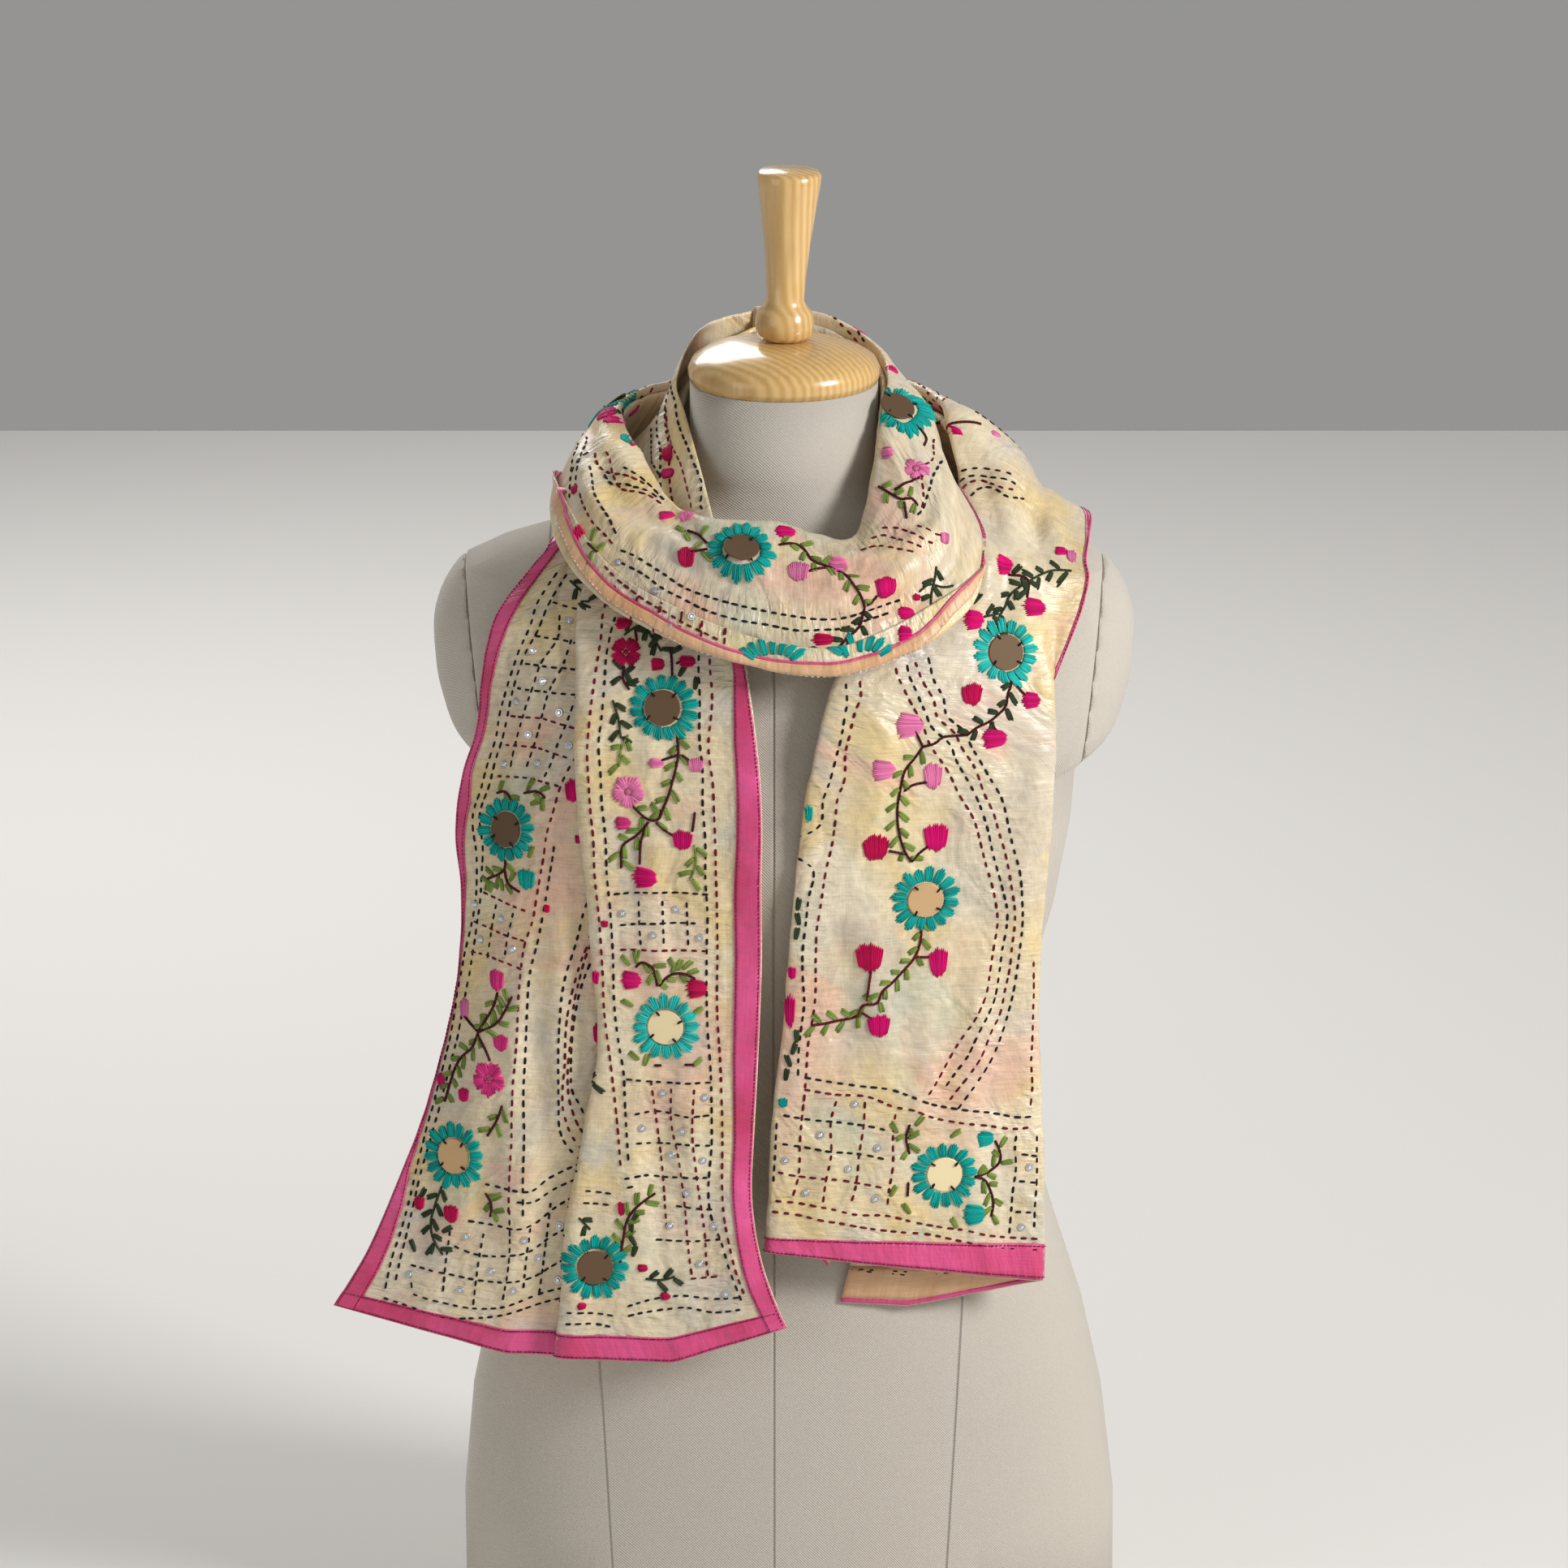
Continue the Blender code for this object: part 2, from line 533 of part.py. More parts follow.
def strip_rows(rows, normals, start, end, lift):
    """A ribbon on the cloth between two distances from its hem edge, or from the other if < 0."""
    steps = np.linalg.norm(np.diff(rows[:, :, :3], axis=1), axis=2)
    across = np.concatenate((np.zeros((len(rows), 1)), np.cumsum(steps, axis=1)), axis=1)
    points = np.empty((len(rows), 3, 3))
    ways = np.empty((len(rows), 3, 3))
    for i in range(len(rows)):
        for k in range(3):
            place = start + (end - start) * k / 2
            if place < 0:
                place += across[i, -1]
            for axis in range(3):
                points[i, k, axis] = np.interp(place, across[i], rows[i, :, axis])
                ways[i, k, axis] = np.interp(place, across[i], normals[i, :, axis])
    ways /= np.linalg.norm(ways, axis=2, keepdims=True)
    return points + lift * ways


for leftover in list(bpy.data.objects):
    bpy.data.objects.remove(leftover)

parts = bpy.data.collections.new("embroidered stole")
bpy.context.scene.collection.children.link(parts)
cutters = bpy.data.collections.new("cutters")
bpy.context.scene.collection.children.link(cutters)

linen = material("linen", (0.50, 0.46, 0.41), 0.9)
wood = material("wood", (0.58, 0.36, 0.15), 0.3)
silk = material("silk", (0.78, 0.66, 0.44), 0.5, 0.4)
satin = material("satin", (0.62, 0.07, 0.20), 0.35, 0.2)
facing = material("facing", (0.68, 0.36, 0.18), 0.7, 0.2)

body_tree = build_form(linen, wood, parts, cutters)

rising = [fall_section(row, FRONT, LEFT_GAPS) for row in LEFT_FALL]
rising += [ring_section(row) for row in LEFT_SHOULDER_RINGS]
left_rows, _ = resampled(rising, STATION_PITCH)

wrapping = [ring_section(row) for row in WRAP_RINGS]
wrapping += [fall_section(row, FRONT, RIGHT_GAPS) for row in RIGHT_FALL]
wrap_rows, wrap_places = resampled(wrapping, STATION_PITCH)

# Where each stretch of the wrap ends, by its turn
STRETCHES = (("neck_band", 165, 290), ("cowl", 290, 455), ("back_wrap", 455, 608))
turns = [row[0] for row in WRAP_RINGS]
along = np.linspace(0, wrap_places[-1], len(wrap_rows))
cowl_from = wrap_places[turns.index(276)]
cowl_to = wrap_places[turns.index(455)]
first_cowl = int(np.searchsorted(along, cowl_from))
last_cowl = int(np.searchsorted(along, cowl_to))

# Each stretch is laid over what is under it: first the body, then the stretches already laid
left_rows = laid_over(left_rows, body_tree, BODY_CLEARANCE)
wrap_rows = laid_over(wrap_rows, body_tree, BODY_CLEARANCE)
left_tree = cloth_tree(left_rows)
neck_tree = cloth_tree(wrap_rows[:first_cowl])
wrap_rows = laid_over(wrap_rows, neck_tree, CLOTH_CLEARANCE, last_cowl)
right_tree = cloth_tree(wrap_rows[along > wrap_places[turns.index(622)]])
wrap_rows = laid_over(wrap_rows, right_tree, CLOTH_CLEARANCE, first_cowl, last_cowl)
wrap_rows = laid_over(wrap_rows, left_tree, CLOTH_CLEARANCE, first_cowl)

left_normals = sheet_normals(left_rows)
wrap_normals = sheet_normals(wrap_rows)


def stretch_rows(start, end):
    """The rows between two places along the wrap, a seam's gap apart from their neighbours."""
    inside = along[(along > start + STATION_PITCH / 3) & (along < end - STATION_PITCH / 3)]
    first = start + (CLOTH_SEAM_GAP / 2 if start > 0 else 0)
    last = end - (CLOTH_SEAM_GAP / 2 if end < along[-1] else 0)
    return hermite(along, wrap_rows, np.concatenate(((first,), inside, (last,))))


cloth_object("left_fall", left_rows, silk, parts)
for name, start_turn, end_turn in STRETCHES:
    start = wrap_places[turns.index(start_turn)]
    end = wrap_places[turns.index(end_turn)]
    cloth_object(name, stretch_rows(start, end), silk, parts)
cloth_object("right_fall", stretch_rows(end, along[-1]), silk, parts)


def ribbon(name, rows, normals, rows_from, rows_to, start, end, side, finish):
    """A sewn-on strip that follows the cloth between two of its rows, on one of its sides."""
    part_rows, part_normals = rows[rows_from:rows_to], side * normals[rows_from:rows_to]
    lift = (WALL + BORDER_WALL) / 2 + BORDER_GAP
    cloth_object(name, strip_rows(part_rows, part_normals, start, end, lift), finish, parts, BORDER_WALL)


# The satin border shows on both edges of the left fall and on the right shoulder, and the turned
# up hem of the cowl shows its facing
cowl_rows = np.flatnonzero((along > wrap_places[turns.index(319)] - 1) & (along < wrap_places[turns.index(433)]))
shoulder_rows = np.flatnonzero((along > wrap_places[turns.index(470)]) & (along < wrap_places[-10]))
for name, start, end in (("left_outer_border", BORDER_INSET, BORDER_WIDTH),
                         ("left_inner_border", -BORDER_WIDTH, -BORDER_INSET)):
    ribbon(name, left_rows, left_normals, 0, BORDERED_ROWS, start, end, 1, satin)
ribbon("back_border", wrap_rows, wrap_normals, shoulder_rows[0], shoulder_rows[-1],
       BORDER_INSET, BORDER_WIDTH, 1, satin)
ribbon("cowl_facing", wrap_rows, wrap_normals, cowl_rows[0], cowl_rows[-1],
       BORDER_INSET, FACING_WIDTH, -1, facing)
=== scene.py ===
"""An embroidered raw silk stole, wound once and a half round the neck of a limbless dress form."""
from math import copysign, cos, pi, radians, sin

import bmesh
import bpy
import numpy as np
from mathutils import Matrix, Vector
from mathutils.bvhtree import BVHTree
from mathutils.kdtree import KDTree


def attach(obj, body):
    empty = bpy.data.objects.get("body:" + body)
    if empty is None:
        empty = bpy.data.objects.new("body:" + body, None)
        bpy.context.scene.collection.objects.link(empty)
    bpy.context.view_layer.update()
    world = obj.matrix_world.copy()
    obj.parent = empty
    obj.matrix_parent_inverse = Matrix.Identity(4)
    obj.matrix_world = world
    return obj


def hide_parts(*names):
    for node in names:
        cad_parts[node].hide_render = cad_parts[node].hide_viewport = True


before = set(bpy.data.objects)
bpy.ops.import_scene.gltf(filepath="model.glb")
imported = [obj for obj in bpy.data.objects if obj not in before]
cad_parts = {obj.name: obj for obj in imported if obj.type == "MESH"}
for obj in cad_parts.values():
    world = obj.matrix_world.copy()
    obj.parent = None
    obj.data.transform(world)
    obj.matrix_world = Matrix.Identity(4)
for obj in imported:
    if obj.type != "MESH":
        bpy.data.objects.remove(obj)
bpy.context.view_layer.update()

# The camera stands in front and looks a little down, at the middle of the form. The photograph's
# width spans 918 mm at the neck.
CAMERA_DISTANCE = 5.0
CAMERA_TILT = radians(16)
CAMERA_AIM_HEIGHT = 0.515
PHOTO_SPAN = 0.9177
SENSOR_WIDTH = 36.0

bpy.ops.object.camera_add(
    location=(0, -CAMERA_DISTANCE * cos(CAMERA_TILT), CAMERA_AIM_HEIGHT + CAMERA_DISTANCE * sin(CAMERA_TILT)),
    rotation=(pi / 2 - CAMERA_TILT, 0, 0),
)
camera = bpy.context.object
camera.name = "camera"
camera.data.sensor_width = SENSOR_WIDTH
camera.data.lens = SENSOR_WIDTH * CAMERA_DISTANCE / PHOTO_SPAN
bpy.context.scene.camera = camera
bpy.ops.object.select_all(action="DESELECT")

# The cloth is one length of raw silk, 360 mm wide. It is folded lengthwise as it is wound, so a
# section across it is a strip with its outer part, a foot fold, a face, a rim fold and inner legs.
# All sizes in this section are millimetres.
MM = 0.001
COARSE_PITCH = 27.0
FINE_PITCH = 5.0
FOLD_GAP = 3.0
BODY_CLEARANCE = 2.4
CLOTH_CLEARANCE = 3.2
LAYER_PITCH = 1.9
REACH = 90.0
RAY_SHARES = (0.0, 0.25, 0.5, 0.75, 1.0)
LIFT_ROUNDS = 3
CLOTH_WALL = 0.8

# Left end, from its hem up. rim and foot are points; the other columns are the bulge of the back
# layer, flap angle and width of the outer part beyond the foot, lift of its edge, depth of the
# dip, place of the free edge (less than 0 is past the rim), lift of that edge, and the pitch of
# the layers, which is negative because they stack outwards
LEFT_FALL = (
    # rim x, y, z         foot x, y, z        bulge flap width lift  dip  edge  lift pitch
    ((-86, -112, 199), (-159, -110, 201), 0, -11, 104, 22, 45, -88, 24, -5),
    ((-61, -112, 254), (-160, -110, 256), 0, -16, 84, 2, 64, -49, 6, -5),
    ((-46, -112, 297), (-158, -109, 300), 0, -21, 71, -4, 74, -28, 0, -5),
    ((-29, -112, 352), (-157, -108, 350), 0, -28, 55, 0, 82, -13, 0, -5),
    ((-19, -112, 394), (-154, -107, 393), 0, -36, 50, -3, 85, -5, 0, -5),
    ((-20, -113, 445), (-147, -106, 441), 0, -36, 50, -8, 88, -8, 0, -5),
    ((-22, -117, 488), (-139, -107, 490), 2, -31, 55, -14, 89, -10, 0, -5),
    ((-28, -118, 530), (-131, -106, 528), 4, -27, 67, -3, 87, -17, 0, -5),
    ((-22, -112, 574), (-119, -99, 572), 4, -25, 66, 0, 95, -8, 0, -5),
    ((-26, -99, 614), (-122, -87, 612), 4, -20, 54, -2, 90, -6, 0, -5),
    ((-36, -80, 650), (-127, -66, 643), 3, -10, 37, -6, 80, -9, 0, -4),
    ((-46, -62, 681), (-119, -46, 664), 2, 0, 30, -6, 60, -10, 0, -3.5),
)

# Rings round the neck. The turn is the angle gone round it seen from above: 90 is the left
# shoulder, 180 behind, 270 the right shoulder and 360 the front.
# Columns: turn, rim radius and height, bulge of the face, foot radius and height, flap angle and
# width of the hem beyond the foot, lean of the inner legs from upright, dip, crest and edge as
# lengths down those legs, and the pitch of the layers
LEFT_SHOULDER_RINGS = (
    (74, 62, 713, 0, 112, 682, 0, 26, 58, 45, 15, -20, -3),
    (90, 61, 724, 0, 107, 689, 0, 24, 50, 42, 12, -18, -3),
    (108, 60, 742, 0, 100, 694, 0, 20, 40, 42, 12, -16, -3),
    (128, 60, 756, 0, 92, 696, 0, 14, 28, 48, 14, -16, -3),
    (146, 60, 766, 0, 86, 695, 0, 12, 20, 56, 20, -12, -3),
    (164.4, 60, 774, 0, 82, 694, 0, 12, 14, 62, 26, -8, -3),
)
WRAP_RINGS = (
    (165, 68, 785, 2, 84, 694, 0, 12, 10, 66, 6, 60, 3.0),
    (185, 69, 784, 2, 84, 692, 0, 12, 10, 68, 6, 62, 3.0),
    (205, 67, 780, 2, 84, 692, 0, 12, 10, 66, 6, 60, 2.8),
    (225, 65, 774, 3, 85, 694, 0, 12, 9, 60, 6, 56, 2.6),
    (245, 63.5, 768, 6, 88, 697, 0, 14, 8, 55, 6, 50, 2.3),
    (262, 62.5, 763, 10, 87, 700, -70, 6, 6, 50, 6, 46, 2.2),
    (276, 62.5, 757, 11, 91, 703, -60, 4, 6, 45, 6, 42, 2.2),
    (290, 64, 750, 9, 104, 695, -10, 4, 10, 42, 6, 38, 2.3),
    (301, 68, 740, 8, 123, 672, 40, 6, 18, 42, 6, 38, 2.6),
    (310, 73, 727, 8, 135, 649, 150, 10, 26, 44, 6, 40, 3.0),
    (319, 80, 711, 8, 138, 634, 163, 17, 28, 46, 6, 42, 3.6),
    (327, 87, 697, 8, 138, 629, 163, 17, 31, 44, 6, 40, 4.0),
    (336, 94, 682, 7, 136, 622, 163, 16, 32, 44, 6, 40, 4.6),
    (346, 93, 684, 7, 134, 618, 163, 14, 32, 50, 6, 46, 5.0),
    (360, 88, 692, 7, 131, 620, 163, 14, 31, 66, 6, 60, 5.5),
    (375, 89, 692, 7, 133, 628, 163, 15, 32, 60, 6, 54, 5.5),
    (389, 90, 690, 8, 134, 636, 163, 17, 35, 50, 6, 46, 5.0),
    (400, 87, 692, 9, 138, 645, 163, 17, 40, 42, 5, 38, 4.0),
    (410, 85, 697, 10, 142, 657, 163, 17, 46, 36, 4, 32, 3.0),
    (421, 84, 706, 11, 143, 671, 163, 17, 50, 32, 2, 30, 2.4),
    (433, 86, 714, 11, 139, 688, 155, 13, 53, 30, 2, 28, 2.2),
    (444, 91, 725, 9, 131, 700, 100, 6, 50, 26, 2, 24, 2.2),
    (455, 97, 736, 7, 124, 702, 20, 7, 42, 26, 2, 24, 2.2),
    (470, 97, 740, 7, 122, 690, 0, 16, 32, 32, 2, 28, 2.4),
    (490, 92, 742, 6, 121, 662, 0, 26, 22, 50, 4, 44, 2.8),
    (512, 89, 743, 5, 119, 638, 0, 28, 15, 70, 6, 62, 4.0),
    (540, 88, 744, 5, 117, 622, 0, 28, 15, 80, 6, 70, 4.0),
    (568, 89, 744, 6, 120, 628, 0, 28, 16, 76, 6, 66, 4.0),
    (590, 92, 743, 8, 130, 645, 0, 28, 22, 66, 6, 58, 4.0),
    (608, 96, 741, 9, 144, 668, 0, 28, 34, 52, 6, 46, 4.0),
    (622, 98, 736, 10, 150, 690, 0, 28, 46, 40, 8, 34, 3.5),
    (634, 102, 709, 9, 149, 687, 0, 28, 58, 38, 14, 40, 2.5),
    (645, 107, 687, 6, 150, 673, 0, 28, 68, 42, 37, 46, 2.0),
)
COWL_PUFF = (
    # turn, height of the puff, and its crease as a share of the face up from the foot
    (292, 0, 0.30), (303, 6, 0.30), (318, 9, 0.36), (330, 9, 0.42), (345, 7, 0.42), (358, 3, 0.32),
    (370, 0, 0.25),
)
PUFF_EDGE = 0.12

# Right end, from the shoulder down, with the left end's columns. Its outer band is folded behind
RIGHT_FALL = (
    # rim x, y, z       foot x, y, z       bulge flap width lift  dip  edge  lift pitch
    ((88, -70, 678), (146, -60, 664), 4, 0, 28, 0, 46, 56, 0, 2.5),
    ((60, -93, 652), (145, -73, 640), 4, -4, 24, 0, 55, 80, 0, 4),
    ((34, -112, 614), (152, -84, 604), 4, -70, 8, 0, 65, 95, 0, 4),
    ((26, -118, 592), (154, -90, 588), 4, -140, 14, 0, 66, 96, 0, 4),
    ((20, -121, 567), (154, -93, 565), 5, -170, 40, 0, 62, 88, 0, 4),
    ((16, -122, 546), (153, -95, 547), 5, -171, 52, 0, 58, 80, 0, 4),
    ((10, -121, 502), (151, -96, 500), 5, -172, 64, 0, 52, 72, 0, 4),
    ((5, -120, 446), (147, -94, 447), 5, -172, 72, 0, 46, 64, 0, 4),
    ((1, -118, 395), (146, -92, 394), 5, -172, 80, 0, 42, 58, 0, 4),
    ((-4, -118, 352), (148, -93, 349), 5, -172, 90, 0, 38, 54, 0, 4),
    ((-7, -118, 292), (150, -95, 297), 5, -172, 104, -4, 32, 46, -4, 4),
    ((-9, -118, 266), (150, -96, 241), 5, -172, 118, -10, 24, 36, -6, 4),
)

# How many steps each part of a section has: line, fold, line and so on from hem to edge
HEM_STEPS = 3
FACE_STEPS = 8
LEG_STEPS = 3
CAP_STEPS = 4

# Which layer each part of a section is in, counted from the body out: at the hem, at the foot,
# in the middle of the face, at the rim, on the three legs, and at the other edge
LEFT_LAYERS = (0, 0, 0, 0, 1, 2, 2, 2)
WRAP_LAYERS = (0, 0.5, 2.5, 3, 2, 1, 0, 0)
COWL_LAYERS = (4.4, 3, 3, 3, 2, 1, 0, 0)
RIGHT_LAYERS = (0, 1.6, 2, 2, 1, 1, 1, 1)

UP = np.array((0.0, 0.0, 1.0))
FRONT = np.array((0.0, -1.0, 0.15))
LEFT_GAPS = (1.0, 1.0, 0.1)
RIGHT_GAPS = (1.0, 0.2, 0.2)


def unit(vector):
    return vector / np.linalg.norm(vector)


def hermite(knots, values, places):
    """Smooth curve through the values (a row for each knot), read at the places."""
    knots = np.asarray(knots, float)
    values = np.asarray(values, float)
    steps = np.diff(knots)
    slopes = np.diff(values, axis=0) / steps.reshape((-1,) + (1,) * (values.ndim - 1))
    tangents = np.empty_like(values)
    tangents[0] = slopes[0]
    tangents[-1] = slopes[-1]
    for i in range(1, len(knots) - 1):
        before, after = steps[i - 1], steps[i]
        tangents[i] = (slopes[i - 1] * after + slopes[i] * before) / (before + after)
    index = np.clip(np.searchsorted(knots, places, side="right") - 1, 0, len(steps) - 1)
    shape = (-1,) + (1,) * (values.ndim - 1)
    u = ((places - knots[index]) / steps[index]).reshape(shape)
    h = steps[index].reshape(shape)
    return ((2 * u**3 - 3 * u**2 + 1) * values[index] + (u**3 - 2 * u**2 + u) * h * tangents[index]
            + (3 * u**2 - 2 * u**3) * values[index + 1] + (u**3 - u**2) * h * tangents[index + 1])


def line(start, end, steps):
    """Points from start up to, but without, end."""
    return [start + (end - start) * k / steps for k in range(steps)]


def fold(start, way_in, end, way_out, steps):
    """A rounded turn from start to end."""
    turn = np.dot(way_in, way_out) < 0
    if not turn:
        start = start - 2.0 * way_in
        end = end + 2.0 * way_out
    handle = (0.67 if turn else 0.35) * np.linalg.norm(end - start)
    a, b, c, d = start, start + handle * way_in, end - handle * way_out, end
    places = np.linspace(0, 1, steps + 1)
    return [(1 - u)**3 * a + 3 * u * (1 - u)**2 * b + 3 * u * u * (1 - u) * c + u**3 * d for u in places]


def puff_shape(u, place):
    """Height of the puff, from the foot (0) to the rim (1): a quick rise, then a slow fall."""
    rise = min(1, max(0, (u - place) / PUFF_EDGE + 0.5))
    fall = min(1, (1 - u) / (1 - place))
    return rise * rise * (3 - 2 * rise) * fall ** 0.6


def folded_section(rim, foot, outward, leg_way, leg_outward, bulge, flap, hem_width, hem_lift,
                   dip, crest, edge, edge_lift, gaps, puff=0.0, puff_place=0.5):
    """The points of one section, from the hem edge to the other edge."""
    down = unit(foot - rim)
    outward = unit(outward - np.dot(outward, down) * down)
    angle = radians(flap)
    foot_gap = FOLD_GAP * min(1, (hem_width + 3) / 15)
    foot_out = foot + foot_gap * (cos(angle / 2) * down + sin(angle / 2) * outward)
    hem_way = cos(angle) * down + sin(angle) * outward
    hem = foot_out + hem_width * hem_way + hem_lift * UP
    crown = (rim + foot) / 2 + 2 * bulge * outward
    at_rim = rim - gaps[0] * leg_outward
    at_dip = at_rim + dip * leg_way
    past_dip = at_dip - gaps[1] * leg_outward
    at_crest = at_rim - gaps[1] * leg_outward + crest * leg_way
    past_crest = at_crest - gaps[2] * leg_outward
    last = at_rim - (gaps[1] + gaps[2]) * leg_outward + edge * leg_way + edge_lift * UP
    foot_fold = fold(foot_out, unit(foot_out - hem), foot, unit(crown - foot), CAP_STEPS)
    rim_fold = fold(rim, unit(rim - crown), at_rim, unit(at_dip - at_rim), CAP_STEPS)
    dip_fold = fold(at_dip, unit(at_dip - at_rim), past_dip, unit(at_crest - past_dip), CAP_STEPS)
    crest_fold = fold(at_crest, unit(at_crest - past_dip), past_crest, unit(last - past_crest), CAP_STEPS)
    face = [(1 - u)**2 * foot_fold[-1] + 2 * u * (1 - u) * crown + u * u * rim_fold[0]
            + puff * puff_shape(u, puff_place) * outward
            for u in np.linspace(0, 1, FACE_STEPS + 1)[1:-1]]
    points = line(hem, foot_fold[0], HEM_STEPS) + foot_fold + face + rim_fold[:-1]
    points += line(rim_fold[-1], dip_fold[0], LEG_STEPS) + dip_fold[:-1]
    points += line(dip_fold[-1], crest_fold[0], LEG_STEPS) + crest_fold[:-1]
    points += line(crest_fold[-1], last, LEG_STEPS) + [last]
    return np.array(points)


def layered(points, layers, outward):
    """Each point with its layer and the row's outward direction beside it."""
    hem, foot, middle, rim, leg_1, leg_2, leg_3, edge = layers
    steps = (0, HEM_STEPS, CAP_STEPS, FACE_STEPS / 2, FACE_STEPS / 2, CAP_STEPS, LEG_STEPS - 1,
             CAP_STEPS + 1, LEG_STEPS - 1, CAP_STEPS + 1, LEG_STEPS - 1)
    values = (hem, hem, foot, middle, rim, leg_1, leg_1, leg_2, leg_2, leg_3, edge)
    layer = np.interp(np.arange(len(points)), np.cumsum(steps), values)
    way = np.tile(unit(outward), (len(points), 1))
    return np.column_stack((points, layer, way))


def ring_section(row):
    """A section in the upright half plane at one turn round the neck."""
    turn, rim_r, rim_z, bulge, foot_r, foot_z, flap, width, lean, dip, crest, edge, pitch = row
    away = np.array((-sin(radians(turn)), -cos(radians(turn)), 0.0))
    rim = rim_r * away + rim_z * UP
    foot = foot_r * away + foot_z * UP
    leg_way = sin(radians(lean)) * away - cos(radians(lean)) * UP
    leg_outward = cos(radians(lean)) * away + sin(radians(lean)) * UP
    puff_turns, puffs, creases = zip(*COWL_PUFF)
    points = folded_section(rim, foot, away + UP, leg_way, leg_outward, bulge, flap, width, 0.0,
                            dip, crest, edge, 0.0, (pitch, pitch, pitch),
                            np.interp(turn, puff_turns, puffs), np.interp(turn, puff_turns, creases))
    layers = LEFT_LAYERS if pitch < 0 else COWL_LAYERS if flap > 90 else WRAP_LAYERS
    return layered(points, layers, away + UP)


def fall_section(row, outward, gap_shares):
    """A section of a hanging end, across the front of the body."""
    rim, foot, bulge, flap, width, hem_lift, dip, edge, edge_lift, pitch = row
    rim = np.array(rim, float)
    foot = np.array(foot, float)
    way = unit(foot - rim)
    leg_outward = unit(outward - np.dot(outward, way) * way)
    gaps = tuple(pitch * share for share in gap_shares)
    points = folded_section(rim, foot, outward, way, leg_outward, bulge, flap, width, hem_lift,
                            dip, (dip + edge) / 2, edge, edge_lift, gaps)
    return layered(points, LEFT_LAYERS if pitch < 0 else RIGHT_LAYERS, outward)


def resampled(sections, pitch):
    """Sections at an even spacing along the cloth, and the place of each given section."""
    sections = np.array(sections)
    steps = np.linalg.norm(np.diff(sections[:, :, :3], axis=0), axis=2).mean(axis=1)
    places = np.concatenate(((0.0,), np.cumsum(steps)))
    count = max(2, round(places[-1] / pitch))
    return hermite(places, sections, np.linspace(0, places[-1], count + 1)), places


def grid_faces(count, across):
    """Squares of a grid of points, each as its four indices."""
    first = (np.arange(count - 1)[:, None] * across + np.arange(across - 1)).ravel()
    return np.column_stack((first, first + 1, first + across + 1, first + across))


def tree_of(points, faces):
    return BVHTree.FromPolygons([Vector(point) for point in points], faces.tolist())


def laid_over(rows, tree, clearance, first=0, last=None):
    """Move points outwards until each layer of the rows is clear of what lies under them."""
    short = np.zeros(rows.shape[:2])
    for i in range(first, len(rows) - 1 if last is None else last):
        for j in range(rows.shape[1] - 1):
            corners = rows[i:i + 2, j:j + 2]
            for u in RAY_SHARES:
                for v in RAY_SHARES:
                    spot = ((1 - u) * (1 - v) * corners[0, 0] + (1 - u) * v * corners[0, 1]
                            + u * (1 - v) * corners[1, 0] + u * v * corners[1, 1])
                    point = Vector(spot[:3])
                    outward = Vector(spot[4:]).normalized()
                    found = tree.ray_cast(point + REACH * outward, -outward, 2 * REACH)[0]
                    if found is not None:
                        need = (found - point).dot(outward) + clearance + LAYER_PITCH * spot[3]
                        near = short[i:i + 2, j:j + 2]
                        weights = np.outer((1 - u, u), (1 - v, v)) > 0
                        near[weights] = np.maximum(near[weights], need)
    for _ in range(LIFT_ROUNDS):
        evened = np.maximum(short[1:-1], (short[:-2] + short[2:]) / 2)
        short[first + 1:-1] = evened[first:]
    laid = rows.copy()
    laid[:, :, :3] += short[:, :, None] * rows[:, :, 4:]
    return laid


def rows_tree(rows):
    points = rows[:, :, :3].reshape(-1, 3)
    return tree_of(points, grid_faces(*rows.shape[:2]))


body_points = []
body_faces = []
for name in ("form_torso", "arm_stump_left", "arm_stump_right"):
    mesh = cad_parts[name].data
    offset = len(body_points)
    body_points += [vert.co / MM for vert in mesh.vertices]
    body_faces += [[offset + k for k in face.vertices] for face in mesh.polygons]
body_tree = BVHTree.FromPolygons(body_points, body_faces)

rising = [fall_section(row, FRONT, LEFT_GAPS) for row in LEFT_FALL]
rising += [ring_section(row) for row in LEFT_SHOULDER_RINGS]
left_rows, _ = resampled(rising, COARSE_PITCH)
wrapping = [ring_section(row) for row in WRAP_RINGS]
wrapping += [fall_section(row, FRONT, RIGHT_GAPS) for row in RIGHT_FALL]
wrap_rows, wrap_places = resampled(wrapping, COARSE_PITCH)

turns = [row[0] for row in WRAP_RINGS]
along = np.linspace(0, wrap_places[-1], len(wrap_rows))
first_cowl = int(np.searchsorted(along, wrap_places[turns.index(276)]))
last_cowl = int(np.searchsorted(along, wrap_places[turns.index(455)]))
left_rows = laid_over(left_rows, body_tree, BODY_CLEARANCE)
wrap_rows = laid_over(wrap_rows, body_tree, BODY_CLEARANCE)
left_tree = rows_tree(left_rows)
neck_tree = rows_tree(wrap_rows[:first_cowl])
wrap_rows = laid_over(wrap_rows, neck_tree, CLOTH_CLEARANCE, last_cowl)
right_tree = rows_tree(wrap_rows[along > wrap_places[turns.index(622)]])
wrap_rows = laid_over(wrap_rows, right_tree, CLOTH_CLEARANCE, first_cowl, last_cowl)
wrap_rows = laid_over(wrap_rows, left_tree, CLOTH_CLEARANCE, first_cowl)

# The coarse sheets, which lie in the CAD cloth, are drawn through with smooth curves both ways
COLUMN_PITCH = 2.6


